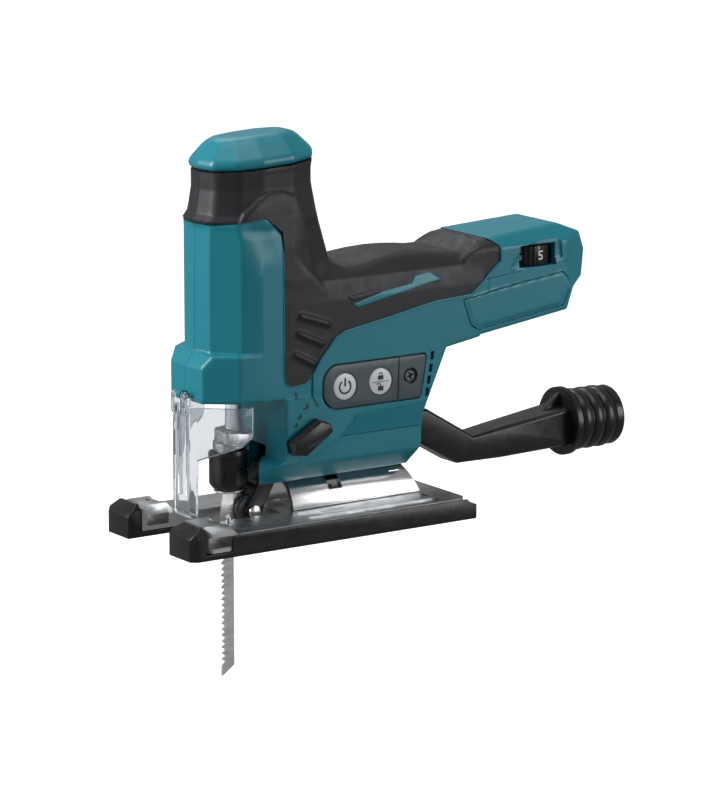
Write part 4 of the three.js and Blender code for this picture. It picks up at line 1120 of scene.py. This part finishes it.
def make_base():
    piece("foot_plate", base_plate(), CAST.material, "base", "cast_aluminium", "base_plate", crease=25)
    piece("tilting_arch", bevel_arch(), BRIGHT.material, "base", "bright_metal", "bevel_arch")
    piece("slide_sole", sole(), BLACK.material, "base", "black_plastic", "sole_cover", crease=25)
    stud = turned([(0.01, 10.8), (1.4, 10.8), (1.4, 13), (0.9, 13.6), (0.01, 13.6)], "z", (15.6, -11), 32)
    piece("guide_stud", stud, STEEL.material, "base", "steel", "rule_stud")
    head = bevelled(cylinder("z", 5.6, 13.4, 17.9, (0, BOLT_Y), 6), 0.4)
    shank = cylinder("z", 3, 17.5, 37.5, (0, BOLT_Y))
    socket = cylinder("z", 2.6, 13, 16.4, (0, BOLT_Y), 6)
    bolt = cut(join(head, shank), socket)
    piece("tilt_bolt", bolt, DARK_STEEL.material, "housing", "dark_steel", "base_bolt")


# ---- Dust nozzle ----
# Stations of the duct: lower and upper point of the section in the side view, and half its width.
DUCT = (
    ((84.8, 32.6), (84.8, 48.4), 8.2),
    ((98, 34.6), (106, 48.4), 8.2),
    ((123.8, 19.4), (134, 31.6), 8),
    ((150, 19), (150, 34), 8.2),
    ((190, 20.4), (190, 39.2), 9.4),
)


def duct(shrink):
    rings = []
    for (y0, z0), (y1, z1), half_width in DUCT:
        tall = math.hypot(y1 - y0, z1 - z0)
        w, a, c = half_width - shrink, shrink / tall, 1.3
        corners = [(w - c, a), (w, a + c / tall), (w, 1 - a - c / tall), (w - c, 1 - a)]
        corners += [(-u, t) for u, t in reversed(corners)]
        rings.append([(u, y0 + (y1 - y0) * t, z0 + (z1 - z0) * t) for u, t in corners])
    return loft(rings)


def make_nozzle():
    end = 219.6
    profile = [(0.01, 189.4), (16.2, 189.4), (16.8, 190), (16.8, 192.6), (16.2, 193.4), (13.6, 193.6)]
    for start in (194.8, 201.6, 208.4):
        for t in np.linspace(0.1, 3.04, 9):
            profile.append((13.7 + 1.5 * math.sin(t), start + 3.2 * (1 - math.cos(t))))
    profile += [(13.9, 215), (14.5, 215.6), (14.7, 218.6), (14.2, end), (0.01, end)]
    cuff = turned(profile, "y", (0, NOZZLE_END_Z), 96)
    gusset = bevelled(prism("x", [(174, 34), (189.8, 45.6), (189.8, 34)], -1.6, 1.6), 0.3, 2)
    pipe = join(cuff, bevelled(duct(0), 0.45, 2, 25), gusset)
    bore = cut(duct(2), block((-30, 30), (60, 84.7), (0, 80)))
    cuff_bore = cylinder("y", 12, 194, 230, (0, NOZZLE_END_Z))
    pipe = cut(pipe, bore, cuff_bore, cylinder("y", 7.4, 184, 200, (0, 30)))
    piece("dust_pipe", pipe, BLACK.material, "nozzle", "black_plastic", "dust_nozzle", crease=24)


# ---- Parts that keep their CAD shape ----
def paint_the_rest():
    inside = (
        (CAST, "gear_case"),
        (DARK_STEEL, "stator", "crank_gear", "yoke"),
        (STEEL, "bearing_front", "bearing_rear", "pinion", "gear_axle", "crank_pin", "balance_weight"),
        (STEEL, "motor_shaft", "lever_shaft", "arch_clamp"),
        (COPPER, "rotor"),
        (BLACK, "fan", "terminal_block"),
        (BRIGHT, "plunger_rod", "holder_pivot"),
        (BRONZE, "lower_bush", "upper_bush"),
        (BOARD, "control_board", "switch_board"),
        (GREY, "potentiometer"),
        (CLEAR, "led_lens"),
    )
    for paint, *names in inside:
        for name in names:
            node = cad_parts[name]
            node.data.materials.clear()
            node.data.materials.append(paint.material)
            edge = node.modifiers.new("edge", "BEVEL")
            edge.width = 0.15 * MM
            edge.segments = 2
            edge.limit_method = "ANGLE"
            edge.angle_limit = math.radians(40)


make_camera()
make_studio()
make_body()
make_trim()
make_panel()
make_screws()
make_lever()
make_marks()
make_dial()
make_blade()
make_clamp()
make_roller()
make_guard()
make_base()
make_nozzle()
paint_the_rest()
